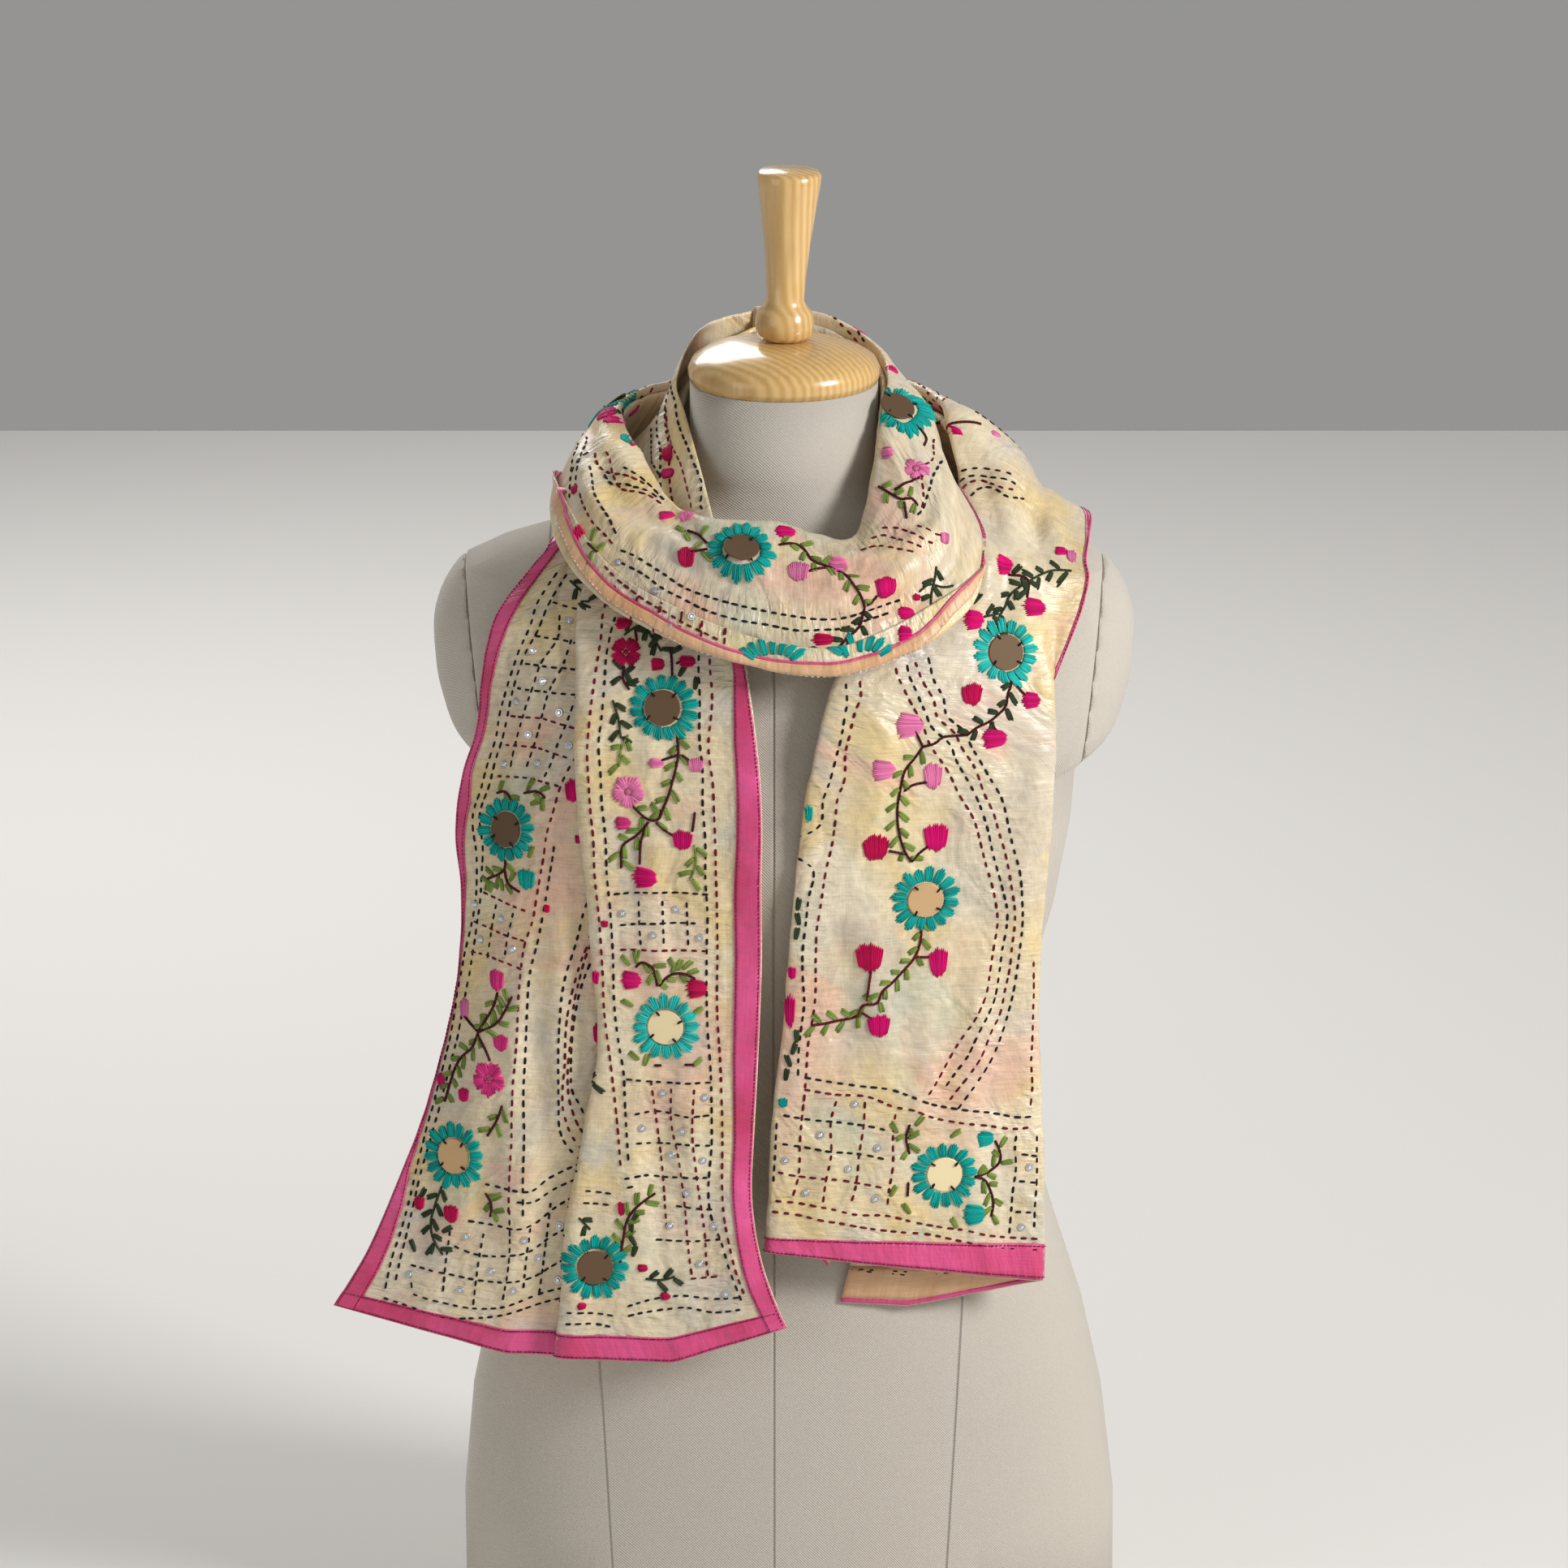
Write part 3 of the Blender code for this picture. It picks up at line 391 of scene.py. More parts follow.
def refined(rows, pitch):
    """A finer grid through the same rows: its points, and its distances along and across."""
    points = rows[:, :, :3]
    steps = np.linalg.norm(np.diff(points, axis=1), axis=2)
    counts = np.maximum(1, np.ceil(steps.mean(axis=0) / COLUMN_PITCH)).astype(int)
    shares = np.concatenate([k + np.arange(n) / n for k, n in enumerate(counts)] + [[len(counts)]])
    finer = []
    for row, lengths in zip(points, steps):
        knots = np.concatenate(((0.0,), np.cumsum(np.maximum(lengths, 0.05))))
        finer.append(hermite(knots, row, np.interp(shares, np.arange(len(knots)), knots)))
    finer = np.array(finer)
    gaps = np.linalg.norm(np.diff(finer, axis=0), axis=2).mean(axis=1)
    places = np.concatenate(((0.0,), np.cumsum(gaps)))
    where = np.linspace(0, places[-1], round(places[-1] / pitch) + 1)
    finer = hermite(places, finer, where)
    widths = np.linalg.norm(np.diff(finer, axis=1), axis=2)
    across = np.concatenate((np.zeros((len(finer), 1)), np.cumsum(widths, axis=1)), axis=1)
    return finer, where, across


READ_PITCH = 1.3


class Cloth:
    """One laid sheet. A place on it is its distance along and across it, in millimetres."""

    def __init__(self, name, rows):
        self.name = name
        self.points, self.along, self.across = refined(rows, FINE_PITCH)
        self.settle()

    def settle(self):
        """Work out all that follows from the points."""
        normals = np.cross(np.gradient(self.points, axis=1), np.gradient(self.points, axis=0))
        self.normals = normals / np.maximum(np.linalg.norm(normals, axis=2, keepdims=True), 1e-9)
        self.width = self.across[:, -1]
        self.pitch = self.along[1]
        self.tree = tree_of(self.points.reshape(-1, 3), grid_faces(*self.points.shape[:2]))
        places = np.arange(0, self.width.max() + READ_PITCH, READ_PITCH)
        self.table = np.empty((len(self.points), len(places), 6))
        for i, (row, normal) in enumerate(zip(self.points, self.normals)):
            for k, values in enumerate(np.hstack((row, normal)).T):
                self.table[i, :, k] = np.interp(places, self.across[i], values)

    def at(self, along, across):
        """Points on the sheet and the ways they face."""
        i = np.clip(np.asarray(along, float) / self.pitch, 0, len(self.table) - 1.001)
        k = np.clip(np.asarray(across, float) / READ_PITCH, 0, self.table.shape[1] - 1.001)
        row, column = i.astype(int), k.astype(int)
        u, v = (i - row)[..., None], (k - column)[..., None]
        read = ((1 - u) * ((1 - v) * self.table[row, column] + v * self.table[row, column + 1])
                + u * ((1 - v) * self.table[row + 1, column] + v * self.table[row + 1, column + 1]))
        ways = read[..., 3:] / np.maximum(np.linalg.norm(read[..., 3:], axis=-1, keepdims=True), 1e-9)
        return read[..., :3], ways

    def width_at(self, along):
        return np.interp(along, self.along, self.width)

    def place_of(self, face, point):
        """The place of a point that a ray has found."""
        row, column = divmod(face, self.points.shape[1] - 1)
        corner = self.points[row, column]
        down = self.points[row + 1, column] - corner
        over = self.points[row, column + 1] - corner
        u = np.clip(np.dot(point - corner, down) / max(np.dot(down, down), 1e-9), 0, 1)
        v = np.clip(np.dot(point - corner, over) / max(np.dot(over, over), 1e-9), 0, 1)
        start, end = self.across[row, column], self.across[row, column + 1]
        return self.along[row] + u * self.pitch, start + v * (end - start)


def sheet_piece(name, points, along, across, thickness, finish):
    """A sheet with a wall, its texture map in metres along and across the cloth."""
    mesh = bpy.data.meshes.new(name)
    faces = grid_faces(*points.shape[:2])
    mesh.from_pydata((points.reshape(-1, 3) * MM).tolist(), [], faces.tolist())
    layer = mesh.uv_layers.new(name="cloth")
    flat = np.stack((along, across), axis=2).reshape(-1, 2) * MM
    layer.data.foreach_set("uv", flat[faces.ravel()].ravel())
    mesh.update()
    mesh.shade_smooth()
    mesh.materials.append(finish)
    made = bpy.data.objects.new(name, mesh)
    bpy.context.scene.collection.objects.link(made)
    wall = made.modifiers.new("wall", "SOLIDIFY")
    wall.thickness = thickness * MM
    wall.offset = 0.0
    return made


def cloth_piece(cloth, finish):
    along = np.repeat(cloth.along[:, None], cloth.points.shape[1], axis=1)
    return sheet_piece(cloth.name, cloth.points, along, cloth.across, CLOTH_WALL, finish)


def plain(name, colour, roughness, **values):
    """A material of one colour; other values go to the shader's sockets by name."""
    made = bpy.data.materials.new(name)
    made.use_nodes = True
    inputs = made.node_tree.nodes["Principled BSDF"].inputs
    inputs["Base Color"].default_value = (*colour, 1.0)
    inputs["Roughness"].default_value = roughness
    for key, value in values.items():
        inputs[key.replace("_", " ")].default_value = value
    return made


left = Cloth("left_cloth", left_rows)
wrap = Cloth("wrap_cloth", wrap_rows)

# The strips sewn to the cloth: the spacing of their points, their wall and how much they swell
STRIP_PITCH = 2.2
STRIP_WALL = 0.4
STRIP_SWELL = 0.45

def strip(name, cloth, side, starts, ends, widths, finish, lift, columns=6, crosswise=False):
    """A strip along a sheet, between two distances from its edge; or across it, between two rows."""
    start, end = starts
    steps = int((end - start) / STRIP_PITCH)
    run = np.linspace(start, end, steps + 1)
    near = np.interp(run, *ends) if isinstance(ends, tuple) else np.full(steps + 1, float(ends))
    far = np.interp(run, *widths) if isinstance(widths, tuple) else np.full(steps + 1, float(widths))
    share = np.linspace(0, 1, columns)
    deep = near[:, None] + (far - near)[:, None] * share
    run = np.repeat(run[:, None], columns, axis=1)
    if crosswise:
        along, across = deep, run / end * cloth.width_at(deep)
    else:
        along, across = run, np.where(deep < 0, cloth.width_at(run) + deep, deep)
    points, normals = cloth.at(along, across)
    waves = 0.5 + 0.5 * np.sin(run / 3.1 + 2.0 * np.sin(run / 17.0))
    swell = STRIP_SWELL * np.sin(pi * share) * waves
    points = points + side * normals * (CLOTH_WALL / 2 + lift + swell)[..., None]
    made = sheet_piece(name, points, run, deep, STRIP_WALL, finish)
    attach(made, "root")
    return made


# Places on the cloth are given in the photograph's pixels, from its upper left corner; a ray from
# the camera finds where each of them is on the sheet.
PHOTO_SIZE = 1932
PIXEL = PHOTO_SPAN / PHOTO_SIZE / MM
eye = np.array(camera.location) / MM
ahead = np.array((0.0, cos(CAMERA_TILT), -sin(CAMERA_TILT)))
picture_up = np.array((0.0, sin(CAMERA_TILT), cos(CAMERA_TILT)))
picture_right = np.array((1.0, 0.0, 0.0))

# The stretches of cloth that show, with their limits along the sheet
REGIONS = {
    "left": (left, 0, 500), "rise": (left, 420, 670), "neck": (wrap, 60, 260),
    "cowl": (wrap, 180, 560), "fall": (wrap, 800, 1400),
}
SNAP_RINGS = (0, 3, 6, 10, 15)


def seen(region, u, v):
    """The sheet, the place on it and its side that show at a pixel, or at the nearest one that hits."""
    wanted, start, end = REGIONS[region]
    for ring in SNAP_RINGS:
        for turn in range(8 if ring else 1):
            du, dv = ring * cos(turn * pi / 4), ring * sin(turn * pi / 4)
            way = (ahead * CAMERA_DISTANCE / MM + (u + du - PHOTO_SIZE / 2) * PIXEL * picture_right
                   + (PHOTO_SIZE / 2 - v - dv) * PIXEL * picture_up)
            way = Vector(unit(way))
            hits = []
            for cloth in (left, wrap):
                point, _, face, distance = cloth.tree.ray_cast(Vector(eye), way)
                if face is not None:
                    hits.append((distance, cloth, face, np.array(point)))
            if not hits:
                continue
            _, cloth, face, point = min(hits, key=lambda hit: hit[0])
            if cloth is not wanted:
                continue
            along, across = cloth.place_of(face, point)
            if start <= along <= end:
                _, normal = cloth.at(along, across)
                return cloth, along, across, 1 if np.dot(normal, way) < 0 else -1
    return None


stitches = {}


def add_stitch(colour, cloth, side, start, end, width, height, tone):
    stitches.setdefault((colour, cloth.name), []).append((side, *start, *end, width, height, tone))


class Spot:
    """A place on a sheet with millimetre axes: x along its heading, y to the left of it."""

    def __init__(self, cloth, side, along, across, heading):
        self.cloth, self.side, self.place = cloth, side, np.array((along, across))
        step = 2.0
        near, _ = cloth.at(along + np.array((-step, step, 0, 0)), across + np.array((0, 0, -step, step)))
        down, over = (near[1] - near[0]) / (2 * step), (near[3] - near[2]) / (2 * step)
        self.point, normal = cloth.at(along, across)
        self.normal = side * normal
        heading = heading(down, over, self.normal)
        self.x = unit(heading - np.dot(heading, self.normal) * self.normal)
        self.y = np.cross(self.normal, self.x)
        metric = np.array(((down @ down, down @ over), (down @ over, over @ over)))
        metric += np.eye(2) * 1e-4
        self.scale = np.linalg.solve(metric, np.array(((down @ self.x, down @ self.y),
                                                       (over @ self.x, over @ self.y))))

    def to(self, x, y):
        return self.place + self.scale @ np.array((x, y))

    def stitch(self, colour, x0, y0, x1, y1, width, height, tone=0.5):
        add_stitch(colour, self.cloth, self.side, self.to(x0, y0), self.to(x1, y1), width, height, tone)


def picture_heading(degrees_right):
    """A heading that looks so many degrees right of straight up in the picture."""
    angle = radians(degrees_right)
    flat = cos(angle) * picture_up + sin(angle) * picture_right

    def heading(down, over, normal):
        slope = np.dot(ahead, normal)
        if abs(slope) < 0.3:
            slope = copysign(0.3, slope)
        return flat - np.dot(flat, normal) / slope * ahead
    return heading


def cloth_heading(degrees_over):
    """A heading so many degrees from the way along the cloth towards its far edge."""
    angle = radians(degrees_over)
    return lambda down, over, normal: cos(angle) * unit(down) + sin(angle) * unit(over)


def spot_seen(region, u, v, angle=0.0):
    found = seen(region, u, v)
    if found is None:
        return None
    cloth, along, across, side = found
    return Spot(cloth, side, along, across, picture_heading(angle))


def path_seen(region, pixels):
    """A smooth path on the cloth through pixels: its sheet, side and closely spaced places."""
    found = [seen(region, u, v) for u, v in pixels]
    found = [spot for spot in found if spot is not None]
    if len(found) < 2:
        return None
    places = np.array([spot[1:3] for spot in found])
    side = 1 if sum(spot[3] for spot in found) > 0 else -1
    return found[0][0], side, smooth_path(found[0][0], places)


def smooth_path(cloth, places):
    """Places every half millimetre or so of real length along a curve through the given ones."""
    keep = [0]
    for k in range(1, len(places)):
        if np.linalg.norm(places[k] - places[keep[-1]]) > 0.3:
            keep.append(k)
    places = places[keep]
    knots = np.concatenate(((0.0,), np.cumsum(np.linalg.norm(np.diff(places, axis=0), axis=1))))
    fine = hermite(knots, places, np.linspace(0, knots[-1], max(8, int(knots[-1] / 0.5))))
    points, _ = cloth.at(fine[:, 0], fine[:, 1])
    lengths = np.concatenate(((0.0,), np.cumsum(np.linalg.norm(np.diff(points, axis=0), axis=1))))
    return lengths, fine


def read_path(path, place):
    lengths, fine = path
    return np.array((np.interp(place, lengths, fine[:, 0]), np.interp(place, lengths, fine[:, 1])))


rng = np.random.default_rng(7)
rows_run = []

# Kinds of running stitch: the pitch along the row, and the length and width of one stitch
ROW = (6.4, 4.2, 1.75)
COWL_ROW = (5.8, 4.2, 1.75)
CHECK = (5.8, 3.9, 1.6)
EDGE_SEAM = (2.3, 2.2, 0.55)
FACING_SEAM = (3.4, 2.1, 0.7)
RUN_HEIGHT = 0.62


def run_row(colour, cloth, side, path, kind=ROW):
    """Running stitch along a path."""
    pitch, length, width = kind
    total = path[0][-1]
    rows_run.append((cloth, path[1][::4]))
    place = rng.uniform(0.3, 0.6) * pitch
    while place + length < total:
        size = length * rng.uniform(0.8, 1.15)
        add_stitch(colour, cloth, side, read_path(path, place), read_path(path, place + size),
                   width * rng.uniform(0.85, 1.1), RUN_HEIGHT, rng.uniform(0, 1))
        place += pitch * rng.uniform(0.92, 1.08)


def row_seen(colour, region, pixels, kind=ROW):
    found = path_seen(region, pixels)
    if found:
        run_row(colour, *found, kind)


# Ridges and valleys are made this much higher and deeper than their table says
RIDGE_GAIN = 1.6
VALLEY_GAIN = 1.2


def crease(region, reach, height, *pixels):
    """A soft ridge, or a valley, along a path that fades out at both of its ends."""
    found = path_seen(region, pixels)
    if not found:
        return
    cloth, side, (_, places) = found
    places = places[::6]
    fade = np.sin(pi * np.linspace(0.04, 0.96, len(places)))**0.7
    near = np.flatnonzero((cloth.along > places[:, 0].min() - 3 * reach)
                          & (cloth.along < places[:, 0].max() + 3 * reach))
    along = np.repeat(cloth.along[near, None], cloth.across.shape[1], axis=1)
    here = np.stack((along, cloth.across[near]), axis=2)
    gaps = np.linalg.norm(here[:, :, None, :] - places, axis=3)
    nearest = gaps.argmin(axis=2)
    gap = gaps.min(axis=2)
    height *= RIDGE_GAIN if height > 0 else VALLEY_GAIN
    rises[cloth.name][near] += side * height * fade[nearest] * np.exp(-(gap / reach)**2)


# Soft creases: the half width and the height of each in millimetres, and its path
rises = {cloth.name: np.zeros(cloth.across.shape) for cloth in (left, wrap)}
for region, *creases in (
    ("cowl", (6, 3.6, (992, 648), (1012, 668), (1045, 690), (1090, 698), (1150, 690)),
     (5, -2.2, (1000, 680), (1045, 704), (1100, 712), (1150, 704)),
     (6, 3.0, (985, 700), (1050, 720), (1105, 716), (1150, 706)),
     (7, 2.6, (1060, 690), (1110, 672), (1150, 640), (1172, 600)),
     (5, -2.0, (1075, 672), (1115, 655), (1142, 630), (1158, 600)),
     (9, 4.0, (735, 500), (742, 540), (765, 572), (800, 600)),
     (7, -2.2, (720, 520), (728, 560), (750, 600), (790, 640)),
     (6, 2.6, (708, 560), (720, 600), (748, 640), (790, 668)),
     (8, 2.6, (770, 640), (820, 668), (880, 690), (960, 700)),
     (6, -1.8, (800, 672), (850, 700), (920, 722), (1000, 726)),
     (8, 1.6, (840, 640), (880, 655), (960, 735), (1040, 742))),
    ("neck", (6, 1.8, (1100, 520), (1108, 580), (1120, 630)),
     (5, 1.6, (1130, 480), (1150, 540), (1165, 600))),
    ("fall", (9, 3.2, (1190, 590), (1206, 690), (1212, 760)),
     (10, 3.0, (1235, 560), (1250, 690), (1264, 800)),
     (8, -2.4, (1215, 600), (1228, 680), (1240, 760)), (10, 2.4, (1206, 650), (1196, 730), (1176, 810)),
     (8, 2.8, (1270, 600), (1290, 640), (1310, 680)), (6, -2.0, (1255, 600), (1272, 640), (1290, 690)),
     (9, 1.8, (1180, 500), (1200, 540), (1215, 570)), (2.4, 0.9, (1078, 1008), (1040, 1072), (1004, 1134)),
     (9, 2.0, (1210, 1150), (1200, 1260), (1186, 1400)), (11, 2.2, (1062, 1110), (1080, 1220), (1096, 1340)),
     (8, -1.2, (1036, 1130), (1044, 1230), (1040, 1330)), (10, 1.8, (1258, 900), (1264, 1040), (1262, 1240)),
     (9, 1.8, (1090, 840), (1078, 930), (1060, 1040)), (7, 1.5, (1130, 1180), (1140, 1280), (1130, 1420)),
     (8, 1.6, (1020, 1400), (1010, 1460), (1000, 1520)), (8, 1.4, (1200, 1400), (1206, 1470), (1204, 1540))),
    ("left", (13, -3.4, (672, 1040), (662, 1160), (660, 1300), (668, 1430)),
     (9, 2.4, (700, 1060), (688, 1180), (684, 1300), (690, 1420)),
     (9, 1.8, (812, 1020), (806, 1120), (812, 1240)), (8, 1.6, (840, 1260), (850, 1400), (868, 1540)),
     (8, -1.0, (800, 1290), (806, 1400), (812, 1540)), (9, 1.8, (775, 1380), (790, 1500), (800, 1620)),
     (9, 1.6, (890, 1380), (905, 1500), (925, 1610)), (8, 1.8, (620, 1130), (600, 1260), (566, 1420)),
     (9, 2.0, (650, 1380), (640, 1500), (636, 1620)), (8, 1.8, (560, 1440), (540, 1540), (524, 1620)),
     (7, 1.6, (665, 800), (650, 880), (630, 980)), (8, 1.6, (690, 780), (686, 880), (668, 1010)),
     (8, 1.4, (800, 830), (806, 900), (802, 980)), (7, 1.4, (710, 1450), (704, 1550), (706, 1640)),
     (6, -1.0, (735, 1440), (735, 1540), (738, 1640)), (6, 1.4, (600, 1330), (580, 1430), (560, 1560))),
):
    for reach, height, *pixels in creases:
        crease(region, reach, height, *pixels)


def wander(along, across, sizes, seed):
    """A smooth drift between -1 and 1 made of a few slanting waves."""
    draw = np.random.default_rng(seed)
    total = np.zeros(np.broadcast(along, across).shape)
    for size in sizes:
        turn = draw.uniform(0, pi)
        bend = 1.6 * np.sin((cos(turn) * across - sin(turn) * along) / size + draw.uniform(0, 6))
        total += np.sin((cos(turn) * along + sin(turn) * across) / size * 2.4 + bend + draw.uniform(0, 6))
    return total / len(sizes)


# The band folded behind the right end hangs a little lower than the layer in front of it. Both
# sheets drift in and out a little all over.
BACK_BAND = 120.0
BACK_BAND_BLEND = 80.0
DROP = 20.0
DROP_RUN = 90.0
DRIFT = 0.75
drops = np.clip((BACK_BAND - wrap.across) / BACK_BAND_BLEND, 0, 1)
drops *= (np.clip((wrap.along - wrap.along[-1]) / DROP_RUN + 1, 0, 1)**2)[:, None]
for cloth, seed in ((left, 3), (wrap, 5)):
    drift = wander(cloth.along[:, None], cloth.across, (9, 12, 16, 22, 30), seed)
    cloth.points = cloth.points + cloth.normals * (rises[cloth.name] + DRIFT * drift)[..., None]
    if cloth is wrap:
        cloth.points[..., 2] -= DROP * drops
    cloth.settle()


class Paint:
    """A material, with short calls for its nodes."""

    def __init__(self, name, colour, roughness, **values):
        self.material = plain(name, colour, roughness, **values)
        self.tree = self.material.node_tree
        self.shader = self.tree.nodes["Principled BSDF"]

    def feed(self, socket, value):
        if isinstance(value, bpy.types.NodeSocket):
            self.tree.links.new(value, socket)
        else:
            socket.default_value = value

    def node(self, kind, inputs, output=0, **settings):
        made = self.tree.nodes.new("ShaderNode" + kind)
        for key, value in settings.items():
            setattr(made, key, value)
        for key, value in inputs.items():
            self.feed(made.inputs[key], value)
        return made.outputs[output]

    def math(self, operation, *values):
        return self.node("Math", dict(enumerate(values)), operation=operation)

    def noise(self, place, scale, detail=2.0, distortion=0.0, stretch=(1, 1, 1), shift=0.0):
        moved = self.node("Mapping", {"Vector": place, "Scale": stretch, "Location": (shift, 0.7 * shift, 0)})
        return self.node("TexNoise", {"Vector": moved, "Scale": scale, "Detail": detail,
                                      "Distortion": distortion})

    def mask(self, value, low, high, amount=1.0):
        return self.node("MapRange", {"Value": value, "From Min": low, "From Max": high, "To Max": amount})

    def mix(self, factor, first, second):
        ends = [(*end, 1.0) if isinstance(end, tuple) else end for end in (first, second)]
        return self.node("Mix", {0: factor, 6: ends[0], 7: ends[1]}, 2, data_type="RGBA")

    def shaded(self, colour, shade):
        return self.node("VectorMath", {0: colour, "Scale": shade}, operation="SCALE")

    def parts(self, place, count=3):
        return [self.node("SeparateXYZ", {"Vector": place}, k) for k in range(count)]

    def bump(self, height, distance, strength=1.0, under=None):
        inputs = {"Height": height, "Distance": distance, "Strength": strength}
        if under:
            inputs["Normal"] = under
        return self.node("Bump", inputs)

    def finish(self, colour, normal):
        self.feed(self.shader.inputs["Base Color"], colour)
        self.feed(self.shader.inputs["Normal"], normal)
        return self.material


# Raw silk: cream, dyed in soft patches, with thick weft threads and small wrinkles
paint = Paint("silk", (0.72, 0.59, 0.38), 0.36, Specular_IOR_Level=0.62, Sheen_Weight=0.12)
flat_place = paint.node("UVMap", {}, uv_map="cloth")
colour = (0.74, 0.60, 0.385)
for shift, scale, tint, low, high, amount in (
    (0.0, 13.0, (0.78, 0.57, 0.22), 0.46, 0.62, 0.70), (3.1, 10.0, (0.62, 0.56, 0.47), 0.46, 0.60, 0.65),
    (7.7, 12.0, (0.80, 0.44, 0.34), 0.54, 0.67, 0.60), (12.9, 11.0, (0.50, 0.55, 0.42), 0.56, 0.68, 0.50),
    (21.3, 15.0, (0.52, 0.50, 0.52), 0.57, 0.70, 0.50), (31.0, 17.0, (0.84, 0.74, 0.54), 0.50, 0.64, 0.55),
):
    amount = paint.mask(paint.noise(flat_place, scale, 3.0, 0.8, shift=shift), low, high, amount)
    colour = paint.mix(amount, colour, tint)
mottle = paint.mask(paint.noise(flat_place, 210.0, 5.0, 0.4), 0.3, 0.7)
slubs = paint.noise(flat_place, 1.0, 3.0, stretch=(950, 38, 1))
threads = paint.noise(flat_place, 1.0, 2.0, stretch=(90, 1100, 1), shift=4.0)
shade = paint.math("MULTIPLY_ADD", mottle, 0.20, 0.86)
shade = paint.math("MULTIPLY_ADD", paint.mask(slubs, 0.45, 0.75), 0.16, shade)
shade = paint.math("MULTIPLY_ADD", paint.mask(threads, 0.45, 0.75), -0.10, shade)
colour = paint.shaded(colour, shade)
pucker = paint.node("Attribute", {}, 2, attribute_name="pucker")
gathers = paint.noise(flat_place, 1.0, 2.5, 0.5, stretch=(300, 90, 1), shift=9.0)
crumple = paint.noise(flat_place, 34.0, 2.2, 0.9, shift=2.0)
normal = paint.bump(crumple, 0.0042)
gathered = paint.math("MULTIPLY", gathers, paint.math("MULTIPLY_ADD", pucker, 1.0, 0.25))
normal = paint.bump(gathered, 0.0014, 1.0, normal)
normal = paint.bump(paint.math("ADD", slubs, paint.math("MULTIPLY", threads, 0.6)), 0.00022, 0.8, normal)
silk = paint.finish(colour, normal)
left_cloth = cloth_piece(left, silk)
wrap_cloth = cloth_piece(wrap, silk)
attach(left_cloth, "root")
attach(wrap_cloth, "root")
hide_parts("left_fall", "left_outer_border", "left_inner_border")
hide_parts("neck_band", "cowl", "back_wrap", "right_fall", "back_border", "cowl_facing")

# The satin border is cut as a straight strip, laid on the cloth's edge and sewn down along both of
# its sides; a strip of peach facing finishes the reverse, and shows where the cowl's hem turns up.
# The strips are real cloth of their own thickness, and pucker a little between their stitches.
OUTER_WIDTHS = ((0, 36, 60, 85, 110, 133, 170, 240, 255, 280, 304, 335, 350, 380, 400, 425, 455, 500, 540),
                (13, 13, 12, 10, 5, 3, 1.8, 1.8, 2.4, 3.3, 5.2, 9.5, 6.6, 6.6, 7.6, 9.5, 12.8, 14, 14))
INNER_WIDTHS = ((0, 36, 85, 134, 182, 230, 280, 330, 375, 415, 440),
                (-11, -12.8, -11.6, -11.9, -14.7, -15.7, -16, -14.7, -13.3, -8, -8))
WRAP_WIDTHS = ((0, 110, 135, 540, 565, 780, 815, 870, 905, 1386),
               (17.5, 17.5, 5, 5, 17.5, 17.5, 6, 5, 2.2, 2.2))
HEM_BORDER = 15.0
EDGE_INSET = 0.4
TURN = 2.2
STITCHES_IN = 1.5


def satin_paint(name, colour, dark, light):
    paint = Paint(name, colour, 0.42, Sheen_Weight=0.3)
    place = paint.node("UVMap", {}, uv_map="cloth")
    colour = paint.mix(paint.mask(paint.noise(place, 16.0, 2.0), 0.35, 0.65), dark, light)
    ribs = paint.noise(place, 1.0, 2.0, stretch=(190, 60, 1))
    weave = paint.noise(place, 1.0, 2.0, stretch=(60, 1400, 1), shift=5.0)
    normal = paint.bump(weave, 0.0001, 0.7, paint.bump(ribs, 0.0016))
    shade = paint.math("MULTIPLY_ADD", weave, 0.4, 0.8)
    return paint.finish(paint.shaded(colour, shade), normal)


satin = satin_paint("satin", (0.66, 0.07, 0.22), (0.58, 0.032, 0.13), (0.78, 0.09, 0.29))
facing = satin_paint("facing", (0.68, 0.36, 0.18), (0.62, 0.33, 0.16), (0.78, 0.50, 0.28))
left_trim = [
    strip("left_outer_satin", left, 1, (0.4, 540), EDGE_INSET, OUTER_WIDTHS, satin, 0.5),
    strip("left_inner_satin", left, 1, (0.4, 440), -EDGE_INSET, INNER_WIDTHS, satin, 0.5),
    strip("left_hem_satin", left, 1, (0, 300), EDGE_INSET, HEM_BORDER, satin, 0.3, crosswise=True),
    strip("left_outer_facing", left, -1, (16, 540), EDGE_INSET, OUTER_WIDTHS, facing, 0.4),
    strip("left_inner_facing", left, -1, (16, 440), -EDGE_INSET, INNER_WIDTHS, facing, 0.4),
    strip("left_hem_facing", left, -1, (0, 300), TURN, HEM_BORDER, facing, 0.3, crosswise=True),
    strip("left_hem_turn", left, -1, (0, 300), EDGE_INSET, TURN, satin, 0.3, columns=3, crosswise=True),
]
hem = wrap.along[-1]
wrap_trim = [
    strip("wrap_satin", wrap, 1, (0, hem - 0.4), EDGE_INSET, WRAP_WIDTHS, satin, 0.5),
    strip("wrap_hem_satin", wrap, 1, (0, 300), hem - HEM_BORDER, hem - EDGE_INSET, satin, 0.3,
          crosswise=True),
    strip("wrap_hem_facing", wrap, -1, (0, 300), hem - HEM_BORDER, hem - TURN, facing, 0.3,
          crosswise=True),
    strip("wrap_hem_turn", wrap, -1, (0, 300), hem - TURN, hem - EDGE_INSET, satin, 0.3, columns=3,
          crosswise=True),
]
